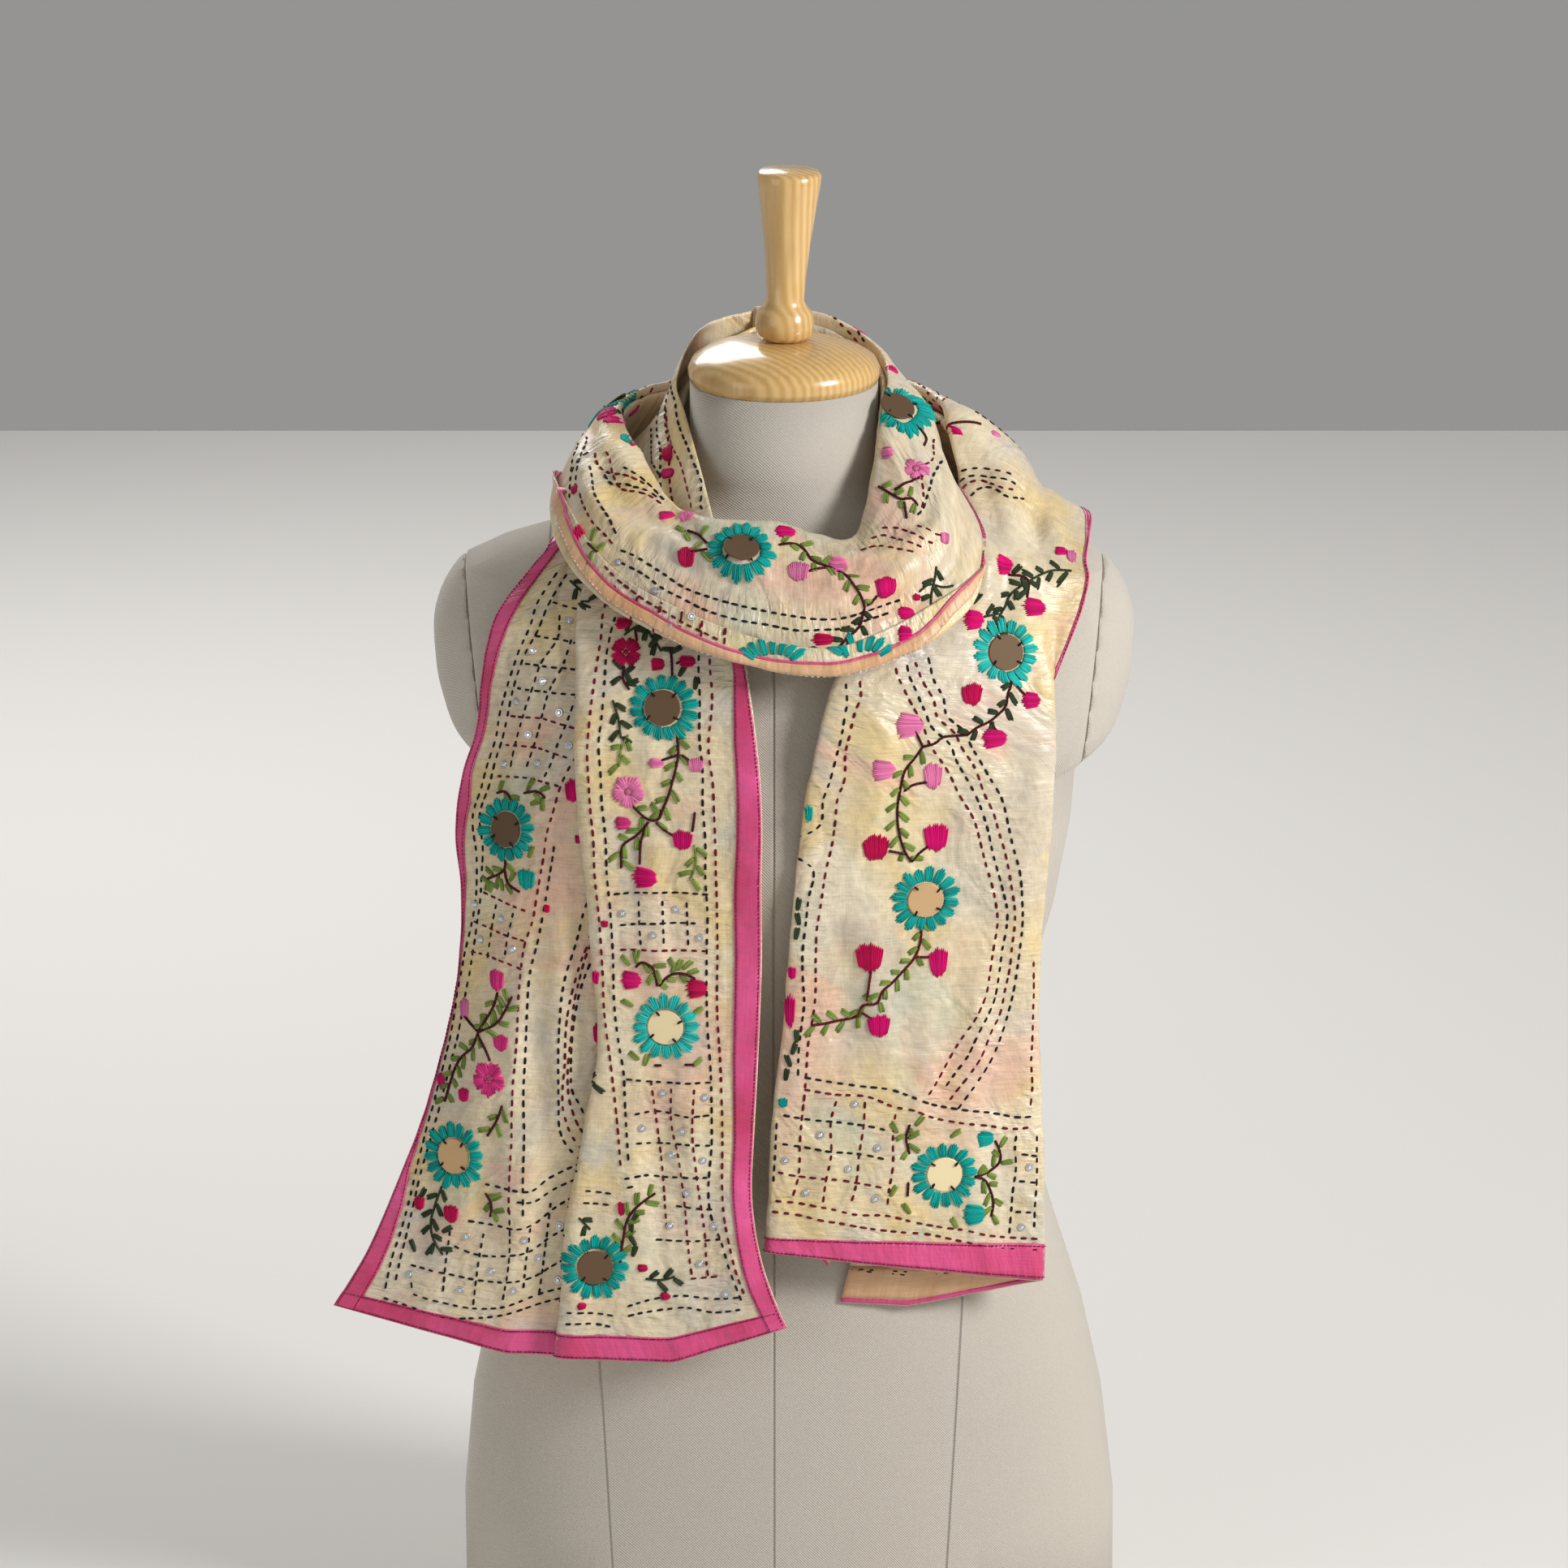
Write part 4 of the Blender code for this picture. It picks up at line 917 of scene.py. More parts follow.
# At the viewer's right the facing runs on up the side, and narrows to a point where the edge
# turns over. It reaches less than 4 mm to each side of its middle, and the satin 1.5 mm more.
facing_run = (202, 207, 212, 218, 225, 234, 247, 257, 279, 290, 312, 322, 354, 377, 393, 418, 441,
              463, 471, 482)
facing_middle = np.array((0.9, 2.4, 3.6, 5.3, 6, 8, 13, 15, 15.3, 14, 13.2, 14.2, 15.8, 15.2, 13.2, 13.6,
                          11.7, 8.7, 6, 5))
facing_share = np.interp(facing_run, (202, 207, 212, 218, 225), (0.08, 0.4, 0.62, 0.9, 1.0))
facing_near = (facing_run, facing_middle - 3.8 * facing_share)
facing_far = (facing_run, facing_middle + 3.6 * facing_share)
facing_edge = (facing_run, facing_middle - 5.3 * facing_share)
wrap_trim += [
    strip("cowl_satin_edge", wrap, -1, (202, 482), facing_edge, facing_near, satin, 0.7, columns=3),
    strip("cowl_peach_facing", wrap, -1, (202, 482), facing_near, facing_far, facing, 0.5),
]


def seam(colour, cloth, side, along, across, kind=EDGE_SEAM):
    """A line of stitches through a list of places, given by distance along and across."""
    run_row(colour, cloth, side, smooth_path(cloth, np.column_stack((along, across))), kind)


for cloth, start, end, widths in ((left, 1, 540, OUTER_WIDTHS), (left, 1, 440, INNER_WIDTHS),
                                  (wrap, 1, 1385, WRAP_WIDTHS)):
    run = np.arange(start, end, 4.0)
    width = np.interp(run, *widths)
    edge = cloth.width_at(run) if widths is INNER_WIDTHS else 0.0
    for deep in (np.sign(width) * STITCHES_IN, width - np.sign(width) * 1.0):
        seam("edge", cloth, 1, run, edge + deep)
for cloth, rows in ((left, (STITCHES_IN, HEM_BORDER - 1.0)),
                    (wrap, (wrap.along[-1] - HEM_BORDER + 1.0, wrap.along[-1] - STITCHES_IN))):
    for row in rows:
        over = np.arange(1.0, cloth.width_at(row) - 1, 4.0)
        seam("edge", cloth, 1, np.full(len(over), row), over)
run = np.arange(226.0, 482.0, 4.0)
seam("seam", wrap, -1, run, np.interp(run, *facing_far) - 1.0, FACING_SEAM)

# The embroidery is worked by hand in raised thread: running stitch in rows, stem stitch, and
# satin stitch for leaves, buds and petals. Every stitch is a small mound that lies on the cloth.
# Running rows of the left end come first: its outer edge, the ridge, the field and the inner panel.
for colour, pixels in (
    ("black", ((688, 702), (672, 725), (660, 745), (655, 765), (640, 800), (624, 850), (616, 880), (608, 915),
               (592, 975), (583, 1000), (587, 1050), (588, 1080), (582, 1130), (575, 1165), (566, 1210),
               (556, 1270), (542, 1330), (523, 1395), (508, 1450), (497, 1505), (483, 1550), (472, 1590))),
    ("black", ((700, 704), (680, 735), (665, 770), (645, 810), (635, 840), (628, 870), (612, 930), (604, 965),
               (592, 1000), (595, 1040), (594, 1080), (590, 1120), (584, 1160), (575, 1215), (565, 1270),
               (550, 1330), (531, 1395), (516, 1450), (504, 1505), (493, 1550), (485, 1588))),
    ("dark red", ((709, 920), (700, 945), (690, 970), (682, 1000), (672, 1040), (666, 1078), (660, 1104),
                  (655, 1134), (647, 1162), (643, 1187), (637, 1230), (635, 1294), (630, 1340), (627, 1420),
                  (625, 1500))),
    ("black", ((685, 1035), (679, 1073), (672, 1111), (663, 1154), (653, 1200), (649, 1243), (647, 1294),
               (644, 1345), (643, 1400), (642, 1500))),
    ("black", ((725, 1101), (719, 1124), (712, 1152), (706, 1172), (698, 1198), (692, 1226), (689, 1253),
               (687, 1281), (686, 1361), (687, 1391), (693, 1409), (704, 1421), (715, 1434))),
    ("dark red", ((729, 1155), (716, 1182), (707, 1210), (702, 1233), (698, 1256), (695, 1317), (693, 1338),
                  (692, 1365), (698, 1387), (717, 1417))),
    ("dark red", ((730, 1155), (720, 1182), (712, 1210), (707, 1231), (702, 1279), (699, 1317), (699, 1353),
                  (706, 1376), (719, 1398))),
    ("black", ((729, 1180), (716, 1215), (709, 1243), (704, 1289), (703, 1317), (704, 1346), (713, 1363),
               (720, 1378))),
    ("dark red", ((740, 735), (733, 785), (727, 850), (725, 900), (726, 970), (728, 1000), (732, 1070),
                  (738, 1130), (742, 1190), (745, 1250), (751, 1300), (758, 1360), (762, 1400), (765, 1440))),
    ("black", ((752, 755), (745, 800), (741, 840), (738, 880), (738, 930), (743, 1000), (746, 1060),
               (752, 1120), (755, 1180), (757, 1240), (763, 1290), (768, 1320), (770, 1360), (775, 1440))),
    ("black", ((858, 800), (862, 870), (864, 930), (867, 1000), (869, 1070), (872, 1130), (871, 1160),
               (872, 1270), (876, 1330), (877, 1400), (878, 1504), (889, 1529), (900, 1566), (915, 1605))),
    ("dark red", ((875, 800), (877, 870), (877, 950), (881, 1030), (883, 1100), (884, 1150), (884, 1250),
                  (888, 1327), (890, 1383), (890, 1439), (893, 1499), (902, 1544), (919, 1600))),
):
    row_seen(colour, "left", pixels)

# The left end's end band and its checks
for colour, pixels in (
    ("black", ((590, 1458), (605, 1461), (631, 1467), (654, 1467), (672, 1454), (687, 1446), (713, 1444))),
    ("black", ((628, 1480), (658, 1480), (676, 1467), (691, 1460), (713, 1461))),
    ("black", ((566, 1504), (609, 1510), (643, 1514), (661, 1506), (676, 1493), (706, 1490))),
    ("black", ((553, 1534), (579, 1544), (624, 1547), (654, 1540), (669, 1529), (702, 1525))),
    ("black", ((501, 1559), (542, 1568), (587, 1577), (631, 1579), (661, 1570), (676, 1561), (695, 1559))),
    ("black", ((502, 1592), (531, 1602), (579, 1611), (613, 1611), (654, 1598), (695, 1592))),
    ("black", ((467, 1599), (508, 1611), (542, 1622), (587, 1623), (624, 1618), (661, 1607), (695, 1605))),
    ("black", ((555, 1510), (547, 1551), (544, 1600))),
    ("black", ((594, 1514), (588, 1559), (583, 1609))),
    ("black", ((628, 1485), (624, 1559), (616, 1607))),
    ("black", ((654, 1506), (646, 1551), (643, 1596))),
    ("black", ((676, 1477), (669, 1540), (663, 1596))),
    ("black", ((503, 1562), (507, 1592))),
    ("black", ((715, 1467), (760, 1472))),
    ("black", ((715, 1482), (760, 1486))),
    ("black", ((764, 1454), (796, 1448), (818, 1450), (840, 1451), (878, 1451))),
    ("black", ((766, 1465), (788, 1460))),
    ("black", ((829, 1485), (880, 1490))),
    ("black", ((803, 1527), (848, 1529), (896, 1527))),
    ("dark red", ((848, 1576), (893, 1572))),
    ("black", ((770, 1611), (811, 1599), (840, 1596), (878, 1600), (915, 1598))),
    ("black", ((695, 1617), (736, 1618), (762, 1622))),
    ("black", ((768, 1623), (803, 1615), (844, 1611), (881, 1617), (922, 1612))),
    ("black", ((693, 1631), (736, 1631), (762, 1636))),
    ("black", ((764, 1329), (803, 1333), (878, 1334))),
    ("black", ((777, 1374), (807, 1369), (848, 1377), (878, 1374))),
    ("black", ((777, 1409), (811, 1408), (848, 1411), (878, 1412))),
    ("dark red", ((801, 1327), (811, 1395), (818, 1458), (822, 1514))),
    ("dark red", ((827, 1335), (828, 1383), (837, 1432), (844, 1484), (848, 1529), (855, 1581))),
    ("dark red", ((855, 1338), (853, 1402), (859, 1454), (868, 1514), (874, 1574))),
    ("black", ((752, 1102), (800, 1100), (874, 1102))),
    ("black", ((757, 1140), (800, 1138), (870, 1138))),
    ("dark red", ((758, 1170), (800, 1171), (875, 1172))),
    ("black", ((787, 1105), (788, 1140), (790, 1170))),
    ("black", ((816, 1105), (817, 1140), (818, 1170))),
    ("black", ((846, 1105), (847, 1140), (848, 1165))),
    ("dark red", ((590, 1098), (630, 1117), (656, 1127))),
    ("dark red", ((580, 1135), (610, 1147), (650, 1162))),
    ("dark red", ((575, 1172), (610, 1182), (643, 1195))),
    ("black", ((612, 1110), (606, 1145), (600, 1185))),
    ("black", ((632, 1120), (626, 1150), (620, 1185))),
    ("black", ((672, 742), (690, 746), (712, 751))),
    ("black", ((655, 783), (685, 788), (712, 792))),
    ("black", ((640, 817), (680, 822), (712, 828))),
    ("black", ((632, 847), (670, 852), (712, 860))),
    ("dark red", ((623, 882), (670, 886), (708, 898))),
    ("dark red", ((617, 918), (660, 922), (700, 935))),
    ("dark red", ((607, 957), (650, 959), (692, 970))),
    ("black", ((690, 752), (685, 790), (665, 820), (655, 850), (645, 880), (638, 905), (632, 930),
               (628, 955))),
    ("black", ((706, 780), (700, 800), (688, 828), (677, 850), (668, 880), (660, 910), (652, 935),
               (645, 957))),
    ("black", ((708, 862), (700, 885), (687, 915), (676, 945), (667, 962))),
):
    row_seen(colour, "left", pixels, CHECK)

# Running rows of the right end: its inner edge, the waves, the outer edge, and the end band
for colour, pixels in (
    ("black", ((1042, 837), (1037, 862), (1030, 885), (1026, 908), (1023, 936), (1019, 965), (1013, 985),
               (1011, 1014), (1007, 1045), (1002, 1071), (996, 1107), (993, 1136), (989, 1170), (989, 1205),
               (990, 1239), (988, 1256), (984, 1285), (981, 1328))),
    ("dark red", ((1060, 832), (1055, 853), (1050, 879), (1043, 902), (1040, 930), (1035, 959), (1029, 985),
                  (1026, 1011), (1024, 1039), (1017, 1074), (1010, 1121), (1006, 1147), (1005, 1176),
                  (1004, 1233), (1000, 1262), (995, 1285), (992, 1316), (989, 1348), (985, 1405), (982, 1445),
                  (975, 1478))),
    ("dark red", ((1104, 816), (1111, 847), (1121, 866), (1132, 887), (1144, 916), (1164, 948), (1179, 976),
                  (1198, 1008), (1207, 1037), (1215, 1068), (1224, 1100), (1229, 1133), (1225, 1162),
                  (1220, 1193), (1215, 1224), (1204, 1250), (1187, 1276), (1169, 1302), (1149, 1337),
                  (1139, 1354))),
    ("black", ((1118, 813), (1125, 847), (1138, 876), (1145, 899), (1159, 913), (1175, 939), (1187, 959),
               (1204, 991), (1217, 1022), (1222, 1051), (1233, 1088), (1241, 1127), (1239, 1147),
               (1234, 1173), (1230, 1199), (1225, 1228), (1204, 1276), (1190, 1302), (1172, 1325),
               (1158, 1348))),
    ("dark red", ((1128, 810), (1134, 833), (1144, 859), (1155, 886), (1167, 902), (1178, 919), (1192, 942),
                  (1210, 976), (1224, 1002), (1230, 1025), (1237, 1048), (1247, 1099), (1250, 1119),
                  (1246, 1173), (1243, 1196), (1237, 1219), (1230, 1250), (1220, 1273), (1207, 1302),
                  (1191, 1325), (1175, 1348), (1164, 1362))),
    ("black", ((1142, 801), (1149, 830), (1159, 856), (1168, 885), (1180, 902), (1192, 916), (1204, 933),
               (1215, 956), (1233, 985), (1241, 1014), (1248, 1042), (1255, 1071), (1259, 1107), (1260, 1133),
               (1257, 1164), (1253, 1193), (1248, 1219), (1234, 1273), (1221, 1305), (1201, 1334),
               (1187, 1354), (1175, 1371))),
    ("dark red", ((1273, 1180), (1272, 1216), (1272, 1250), (1270, 1285), (1268, 1308), (1270, 1337),
                  (1268, 1365))),
    ("black", ((982, 1326), (1017, 1332), (1060, 1338), (1095, 1342), (1124, 1352), (1152, 1362),
               (1190, 1368), (1224, 1372), (1253, 1377), (1276, 1375))),
    ("dark red", ((983, 1341), (1026, 1348), (1072, 1352), (1101, 1364), (1129, 1369), (1149, 1377),
                  (1184, 1384), (1215, 1387), (1247, 1391), (1276, 1388))),
    ("black", ((959, 1372), (994, 1379), (1037, 1383), (1078, 1389), (1099, 1395))),
    ("black", ((955, 1407), (986, 1413), (1020, 1419), (1060, 1422), (1099, 1430))),
    ("dark red", ((951, 1442), (983, 1449), (1020, 1453), (1058, 1458), (1095, 1465))),
    ("dark red", ((945, 1478), (977, 1481), (1015, 1488), (1049, 1496), (1091, 1498), (1124, 1506),
                  (1158, 1512), (1187, 1516), (1215, 1522), (1244, 1525), (1277, 1528))),
    ("dark red", ((946, 1491), (980, 1496), (1020, 1505), (1060, 1512), (1106, 1518), (1144, 1521),
                  (1175, 1528), (1204, 1534), (1235, 1538), (1277, 1541))),
    ("black", ((957, 1375), (955, 1416), (952, 1462))),
    ("dark red", ((1030, 1349), (1023, 1382), (1022, 1422), (1017, 1456), (1012, 1488))),
    ("dark red", ((1065, 1352), (1062, 1387), (1058, 1422), (1053, 1459), (1045, 1492))),
    ("dark red", ((1102, 1366), (1100, 1399), (1098, 1436), (1093, 1473), (1091, 1496))),
    ("black", ((1251, 1395), (1248, 1413), (1250, 1439), (1247, 1468), (1244, 1496), (1241, 1524))),
    ("black", ((1275, 1395), (1276, 1425), (1276, 1456), (1274, 1491), (1271, 1525))),
    ("black", ((1248, 1421), (1277, 1425))),
    ("black", ((1250, 1455), (1277, 1458))),
    ("black", ((1245, 1493), (1277, 1496))),
    ("black", ((1030, 1559), (1060, 1567), (1101, 1567), (1126, 1567))),
    ("black", ((1171, 587), (1187, 580), (1205, 577), (1232, 581), (1250, 588))),
    ("black", ((1172, 597), (1192, 588), (1205, 586), (1224, 589), (1243, 593), (1255, 600))),
    ("dark red", ((1177, 608), (1189, 600), (1207, 592), (1223, 597), (1239, 603), (1254, 604))),
    ("black", ((1192, 616), (1211, 601), (1227, 603), (1240, 613), (1256, 615), (1267, 613))),
):
    row_seen(colour, "fall", pixels)

# Rows of the cowl, and of the neck band above it
for colour, region, pixels in (
    ("black", "cowl", ((721, 572), (724, 592), (732, 612), (742, 627), (751, 643), (759, 657), (765, 668))),
    ("black", "cowl", ((761, 678), (779, 686), (797, 697), (817, 709), (842, 724), (868, 735), (888, 741),
                       (911, 748), (936, 753), (969, 759), (1013, 763), (1043, 760), (1067, 752), (1093, 744),
                       (1120, 735))),
    ("black", "cowl", ((759, 691), (771, 697), (792, 710), (817, 726), (842, 740), (868, 752), (893, 760),
                       (913, 766), (944, 771), (987, 777), (1013, 776), (1035, 775), (1067, 764),
                       (1099, 753))),
    ("dark red", "cowl", ((712, 607), (722, 629), (733, 648), (746, 663), (759, 676))),
    ("black", "cowl", ((700, 592), (708, 574), (720, 560), (728, 555))),
    ("black", "cowl", ((760, 578), (779, 582), (792, 592), (807, 605), (820, 618))),
    ("black", "cowl", ((737, 583), (744, 592), (754, 601), (764, 598), (781, 601), (797, 606), (812, 615))),
    ("dark red", "cowl", ((730, 556), (735, 572), (746, 584), (761, 588), (779, 590), (802, 602))),
    ("dark red", "cowl", ((741, 556), (744, 569), (754, 588), (766, 606), (784, 607), (804, 615),
                          (818, 624))),
    ("dark red", "cowl", ((741, 693), (759, 714), (779, 729), (799, 743), (822, 757), (842, 768), (868, 781),
                          (890, 791))),
    ("dark red", "cowl", ((766, 703), (761, 716))),
    ("dark red", "cowl", ((795, 712), (786, 735))),
    ("dark red", "cowl", ((816, 726), (816, 742), (812, 757))),
    ("dark red", "cowl", ((843, 742), (840, 755), (837, 768))),
    ("dark red", "cowl", ((869, 754), (864, 768), (861, 780))),
    ("dark red", "cowl", ((895, 762), (893, 775), (890, 791))),
    ("black", "neck", ((1160, 563), (1152, 581), (1145, 589), (1136, 611), (1124, 637))),
    ("dark red", "neck", ((1153, 539), (1149, 557), (1141, 571), (1135, 589), (1133, 607), (1131, 627))),
    ("dark red", "cowl", ((1124, 645), (1147, 655), (1159, 659))),
    ("dark red", "cowl", ((1081, 653), (1109, 652), (1131, 661), (1155, 669))),
    ("dark red", "cowl", ((1067, 667), (1088, 660), (1112, 667), (1144, 679))),
    ("dark red", "cowl", ((1052, 679), (1075, 675), (1099, 676), (1136, 684))),
    ("dark red", "rise", ((820, 500), (823, 530), (832, 560), (845, 600), (852, 640))),
    ("black", "rise", ((836, 470), (835, 520), (842, 540), (850, 570), (857, 600), (862, 625), (866, 645))),
    ("black", "rise", ((802, 526), (803, 567), (808, 592))),
):
    row_seen(colour, region, pixels, COWL_ROW)

# The rows draw the cloth up into small gathers on both sides of them
PUCKER_REACH = 7.0
for cloth, made in ((left, left_cloth), (wrap, wrap_cloth)):
    places = np.concatenate([places for own, places in rows_run if own is cloth])
    tree = KDTree(len(places))
    for k, place in enumerate(places):
        tree.insert((*place, 0.0), k)
    tree.balance()
    gaps = [tree.find((row, deep, 0.0))[2] for row, line in zip(cloth.along, cloth.across) for deep in line]
    values = made.data.attributes.new("pucker", "FLOAT", "POINT")
    values.data.foreach_set("value", np.exp(-(np.array(gaps) / PUCKER_REACH)**2))

# Sizes of leaves: a single one, those of a stem with their spacing, and the width of all
LEAF_LENGTH = 9.6
STEM_LEAF_LENGTH = 9.2
STEM_LEAF_SPACING = 4.6
LEAF_WIDTH = 3.5


def fan(spot, colour, x, y, angle, length, width, strands=3, spread=0.6, height=0.9):
    """Long stitches side by side from a root, opened a little like a fan."""
    for k in range(strands):
        share = (k + 0.5) / strands - 0.5
        root, tip = share * width * (1 - spread), share * width
        reach = length * (1 - 0.5 * abs(share)) * rng.uniform(0.93, 1.05)
        spot.stitch(colour, x - root * sin(angle), y + root * cos(angle),
                    x + reach * cos(angle) - tip * sin(angle), y + reach * sin(angle) + tip * cos(angle),
                    1.3 * width / strands, height, rng.uniform(0, 1))


def leaf_seen(region, colour, u, v, lean):
    """A leaf of two stitches, its middle at a pixel, leaning so many degrees right of up."""
    spot = spot_seen(region, u, v, lean)
    if spot:
        fan(spot, colour, -LEAF_LENGTH / 2, 0, 0.0, LEAF_LENGTH, LEAF_WIDTH, strands=2)


def bud(spot, colour, wide, high):
    """Satin stitch laid along the bud's longer way, drawn in at its foot, with uneven ends."""
    length, girth = max(wide, high) / 2, min(wide, high) / 2
    count = max(3, round(2 * girth / 1.15))
    for k in range(count):
        place = (2 * k + 1) / count - 1
        reach = length * (1 - 0.65 * place * place)**0.5
        low, high_end = -reach * rng.uniform(0.88, 1.08), reach * rng.uniform(0.9, 1.18)
        foot, top = 0.72 * place * girth, place * girth * 1.04
        ends = (low, foot, high_end, top) if high >= wide else (foot, low, top, high_end)
        spot.stitch(colour, *ends, 1.6, 1.1, rng.uniform(0, 1))


def lobed_flower(region, colour, u, v, wide, high, lobes):
    """Wide rounded lobes of satin stitch round a dark knot."""
    spot = spot_seen(region, u, v)
    reach = (wide + high) * PIXEL / 4
    for k in range(lobes):
        angle = (k + 0.5) * 2 * pi / lobes
        fan(spot, colour, 1.6 * cos(angle), 1.6 * sin(angle), angle, reach - 1.4, 4.5 * reach / lobes,
            strands=5, height=1.1)
    for k in range(3):
        x, y = 2.0 * cos(k * pi / 3), 2.0 * sin(k * pi / 3)
        spot.stitch(colour, -x, -y, x, y, 1.5, 1.2, 0.2)


# Stem stitch: the stitches are longer than their pitch, so they overlap
STEM_PITCH = 2.3
STEM_STITCH = 3.4


def stem(cloth, side, path, colour="maroon", leaves=None):
    """Stem stitch along a path, with leaves on both sides where a colour is given."""
    total = path[0][-1]
    place = 0.0
    while place < total - 0.8:
        end = min(place + STEM_STITCH, total)
        add_stitch(colour, cloth, side, read_path(path, place), read_path(path, end), 1.7, 0.95,
                   rng.uniform(0, 1))
        place += STEM_PITCH
    place, turn = 2.0, 1
    while leaves and place < total - 1.0:
        start = read_path(path, place)
        step = read_path(path, place + 1.0) - start
        spot = Spot(cloth, side, *start, lambda down, over, _: step[0] * down + step[1] * over)
        fan(spot, leaves, 0.3, 0.6 * turn, turn * radians(rng.uniform(38, 54)),
            STEM_LEAF_LENGTH * rng.uniform(0.8, 1.15), LEAF_WIDTH, strands=2)
        place, turn = place + STEM_LEAF_SPACING * rng.uniform(0.8, 1.2), -turn


MIRROR_RADIUS = 10.3
PETALS = 16
PETAL_LENGTH = 10.8
PETAL_WIDTH = 5.5
mirrors = []
stones = []


def mirror_flower(spot, colour, tint):
    """Petals round a mirror that thread ties hold at its rim."""
    mirrors.append((spot, tint))
    first = rng.uniform(0, 0.3)
    for k in range(PETALS):
        angle = first + k * 2 * pi / PETALS
        fan(spot, colour, (MIRROR_RADIUS + 0.2) * cos(angle), (MIRROR_RADIUS + 0.2) * sin(angle), angle,
            PETAL_LENGTH * rng.uniform(0.85, 1.1), PETAL_WIDTH, strands=4, spread=0.3, height=1.3)
    for k in range(4):
        angle = first + 0.5 + (k + rng.uniform(-0.15, 0.15)) * pi / 2
        inner, outer = MIRROR_RADIUS - 2.6, MIRROR_RADIUS + 0.9
        spot.stitch("tie", inner * cos(angle), inner * sin(angle),
                    outer * cos(angle + 0.08), outer * sin(angle + 0.08), 1.4, 0.8)


# Mirror flowers, with the colour of each mirror's painted reflection, and lobed flowers
for region, u, v, colour, tint in (
    ("left", 813, 872, "teal", "brown"), ("left", 624, 1022, "teal", "brown"),
    ("left", 557, 1425, "teal", "tan"), ("left", 820, 1265, "light teal", "cream"),
    ("left", 733, 1560, "teal", "brown"),
    ("fall", 1242, 804, "light teal", "brown"), ("fall", 1140, 1108, "teal", "tan"),
    ("fall", 1162, 1446, "teal", "cream"), ("cowl", 913, 677, "teal", "brown"),
    ("neck", 1101, 499, "teal", "brown"),
):
    mirror_flower(spot_seen(region, u, v), colour, tint)
for region, colour, u, v, wide, high, lobes in (
    ("left", "crimson", 770, 803, 42, 36, 4), ("left", "light pink", 774, 975, 45, 42, 5),
    ("left", "pink", 600, 1330, 45, 50, 5), ("neck", "light pink", 1121, 573, 33, 30, 5),
):
    lobed_flower(region, colour, u, v, wide, high, lobes)

# Buds: middle, width and height
for region, colour, *buds in (
    ("fall", "crimson", (1195, 856, 27, 29), (1078, 1045, 33, 36), (1071, 1180, 34, 39)),
    ("fall", "magenta", (1269, 863, 26, 21), (1219, 910, 34, 24), (1152, 1032, 31, 37), (1156, 1186, 24, 39),
     (1082, 1264, 28, 31), (976, 1198, 10, 18), (973, 1245, 13, 46), (1236, 697, 27, 25), (1275, 748, 35, 23),
     (1201, 763, 28, 25), (1307, 680, 16, 12)),
    ("fall", "light pink", (1111, 893, 37, 31), (1081, 948, 31, 26), (1149, 956, 23, 34), (1319, 687, 12, 22),
     (1227, 536, 14, 8)),
    ("fall", "teal", (1214, 1403, 24, 20), (1200, 1496, 30, 28), (994, 1002, 10, 24), (963, 1358, 12, 14)),
    ("fall", "magenta", (1173, 527, 25, 14)), ("fall", "light pink", (1156, 499, 16, 10)),
    ("neck", "magenta", (1100, 456, 16, 11)), ("neck", "light pink", (1093, 559, 19, 17)),
    ("left", "crimson", (764, 768, 22, 15), (806, 818, 19, 16), (846, 815, 23, 15), (515, 1483, 14, 19),
     (554, 1497, 20, 24), (766, 1490, 9, 20), (674, 1120, 8, 12), (793, 1562, 14, 10), (822, 1597, 14, 10),
     (719, 1609, 12, 9), (745, 1138, 9, 10), (859, 1218, 28, 25)),
    ("left", "light pink", (809, 940, 21, 12), (858, 943, 19, 19), (572, 1243, 14, 28)),
    ("left", "pink", (768, 1014, 21, 16), (612, 1209, 20, 29), (617, 1286, 21, 22)),
    ("left", "magenta", (841, 1035, 25, 27), (795, 1081, 33, 27), (778, 1207, 27, 24), (571, 1350, 17, 19),
     (544, 1331, 11, 19), (703, 975, 18, 30), (714, 1035, 7, 12), (734, 1205, 8, 20), (736, 1274, 12, 30)),
    ("left", "teal", (647, 1084, 24, 27)),
    ("cowl", "crimson", (846, 688, 24, 28), (1015, 788, 29, 15), (1128, 736, 9, 10), (716, 653, 14, 18),
     (706, 608, 10, 15), (784, 543, 10, 22)),
    ("cowl", "light pink", (985, 705, 27, 27), (1032, 696, 27, 23), (1164, 664, 12, 17), (846, 637, 22, 22)),
    ("cowl", "magenta", (1091, 725, 27, 31), (968, 657, 26, 16), (1116, 756, 21, 16), (1115, 780, 20, 19),
     (757, 518, 30, 11), (822, 636, 22, 13)),
    ("rise", "crimson", (820, 562, 20, 28)), ("rise", "magenta", (821, 586, 21, 15)),
    ("cowl", "teal", (767, 541, 22, 22)), ("cowl", "pink", (791, 513, 25, 10)),
):
    for u, v, wide, high in buds:
        spot = spot_seen(region, u, v)
        if spot:
            bud(spot, colour, wide * PIXEL, high * PIXEL)

# Two flowers whose lower halves are turned under with the cowl's hem
for middle, height in ((952, 823), (1060, 816)):
    for lean in (-54, -36, -18, 0, 18, 36, 54):
        spot = spot_seen("cowl", middle + 36 * sin(radians(lean)), height - 25 * cos(radians(lean)), lean)
        if spot:
            fan(spot, "teal", -4.6, 0, 0.0, 12.5, 4.5, strands=4, spread=0.5, height=1.3)

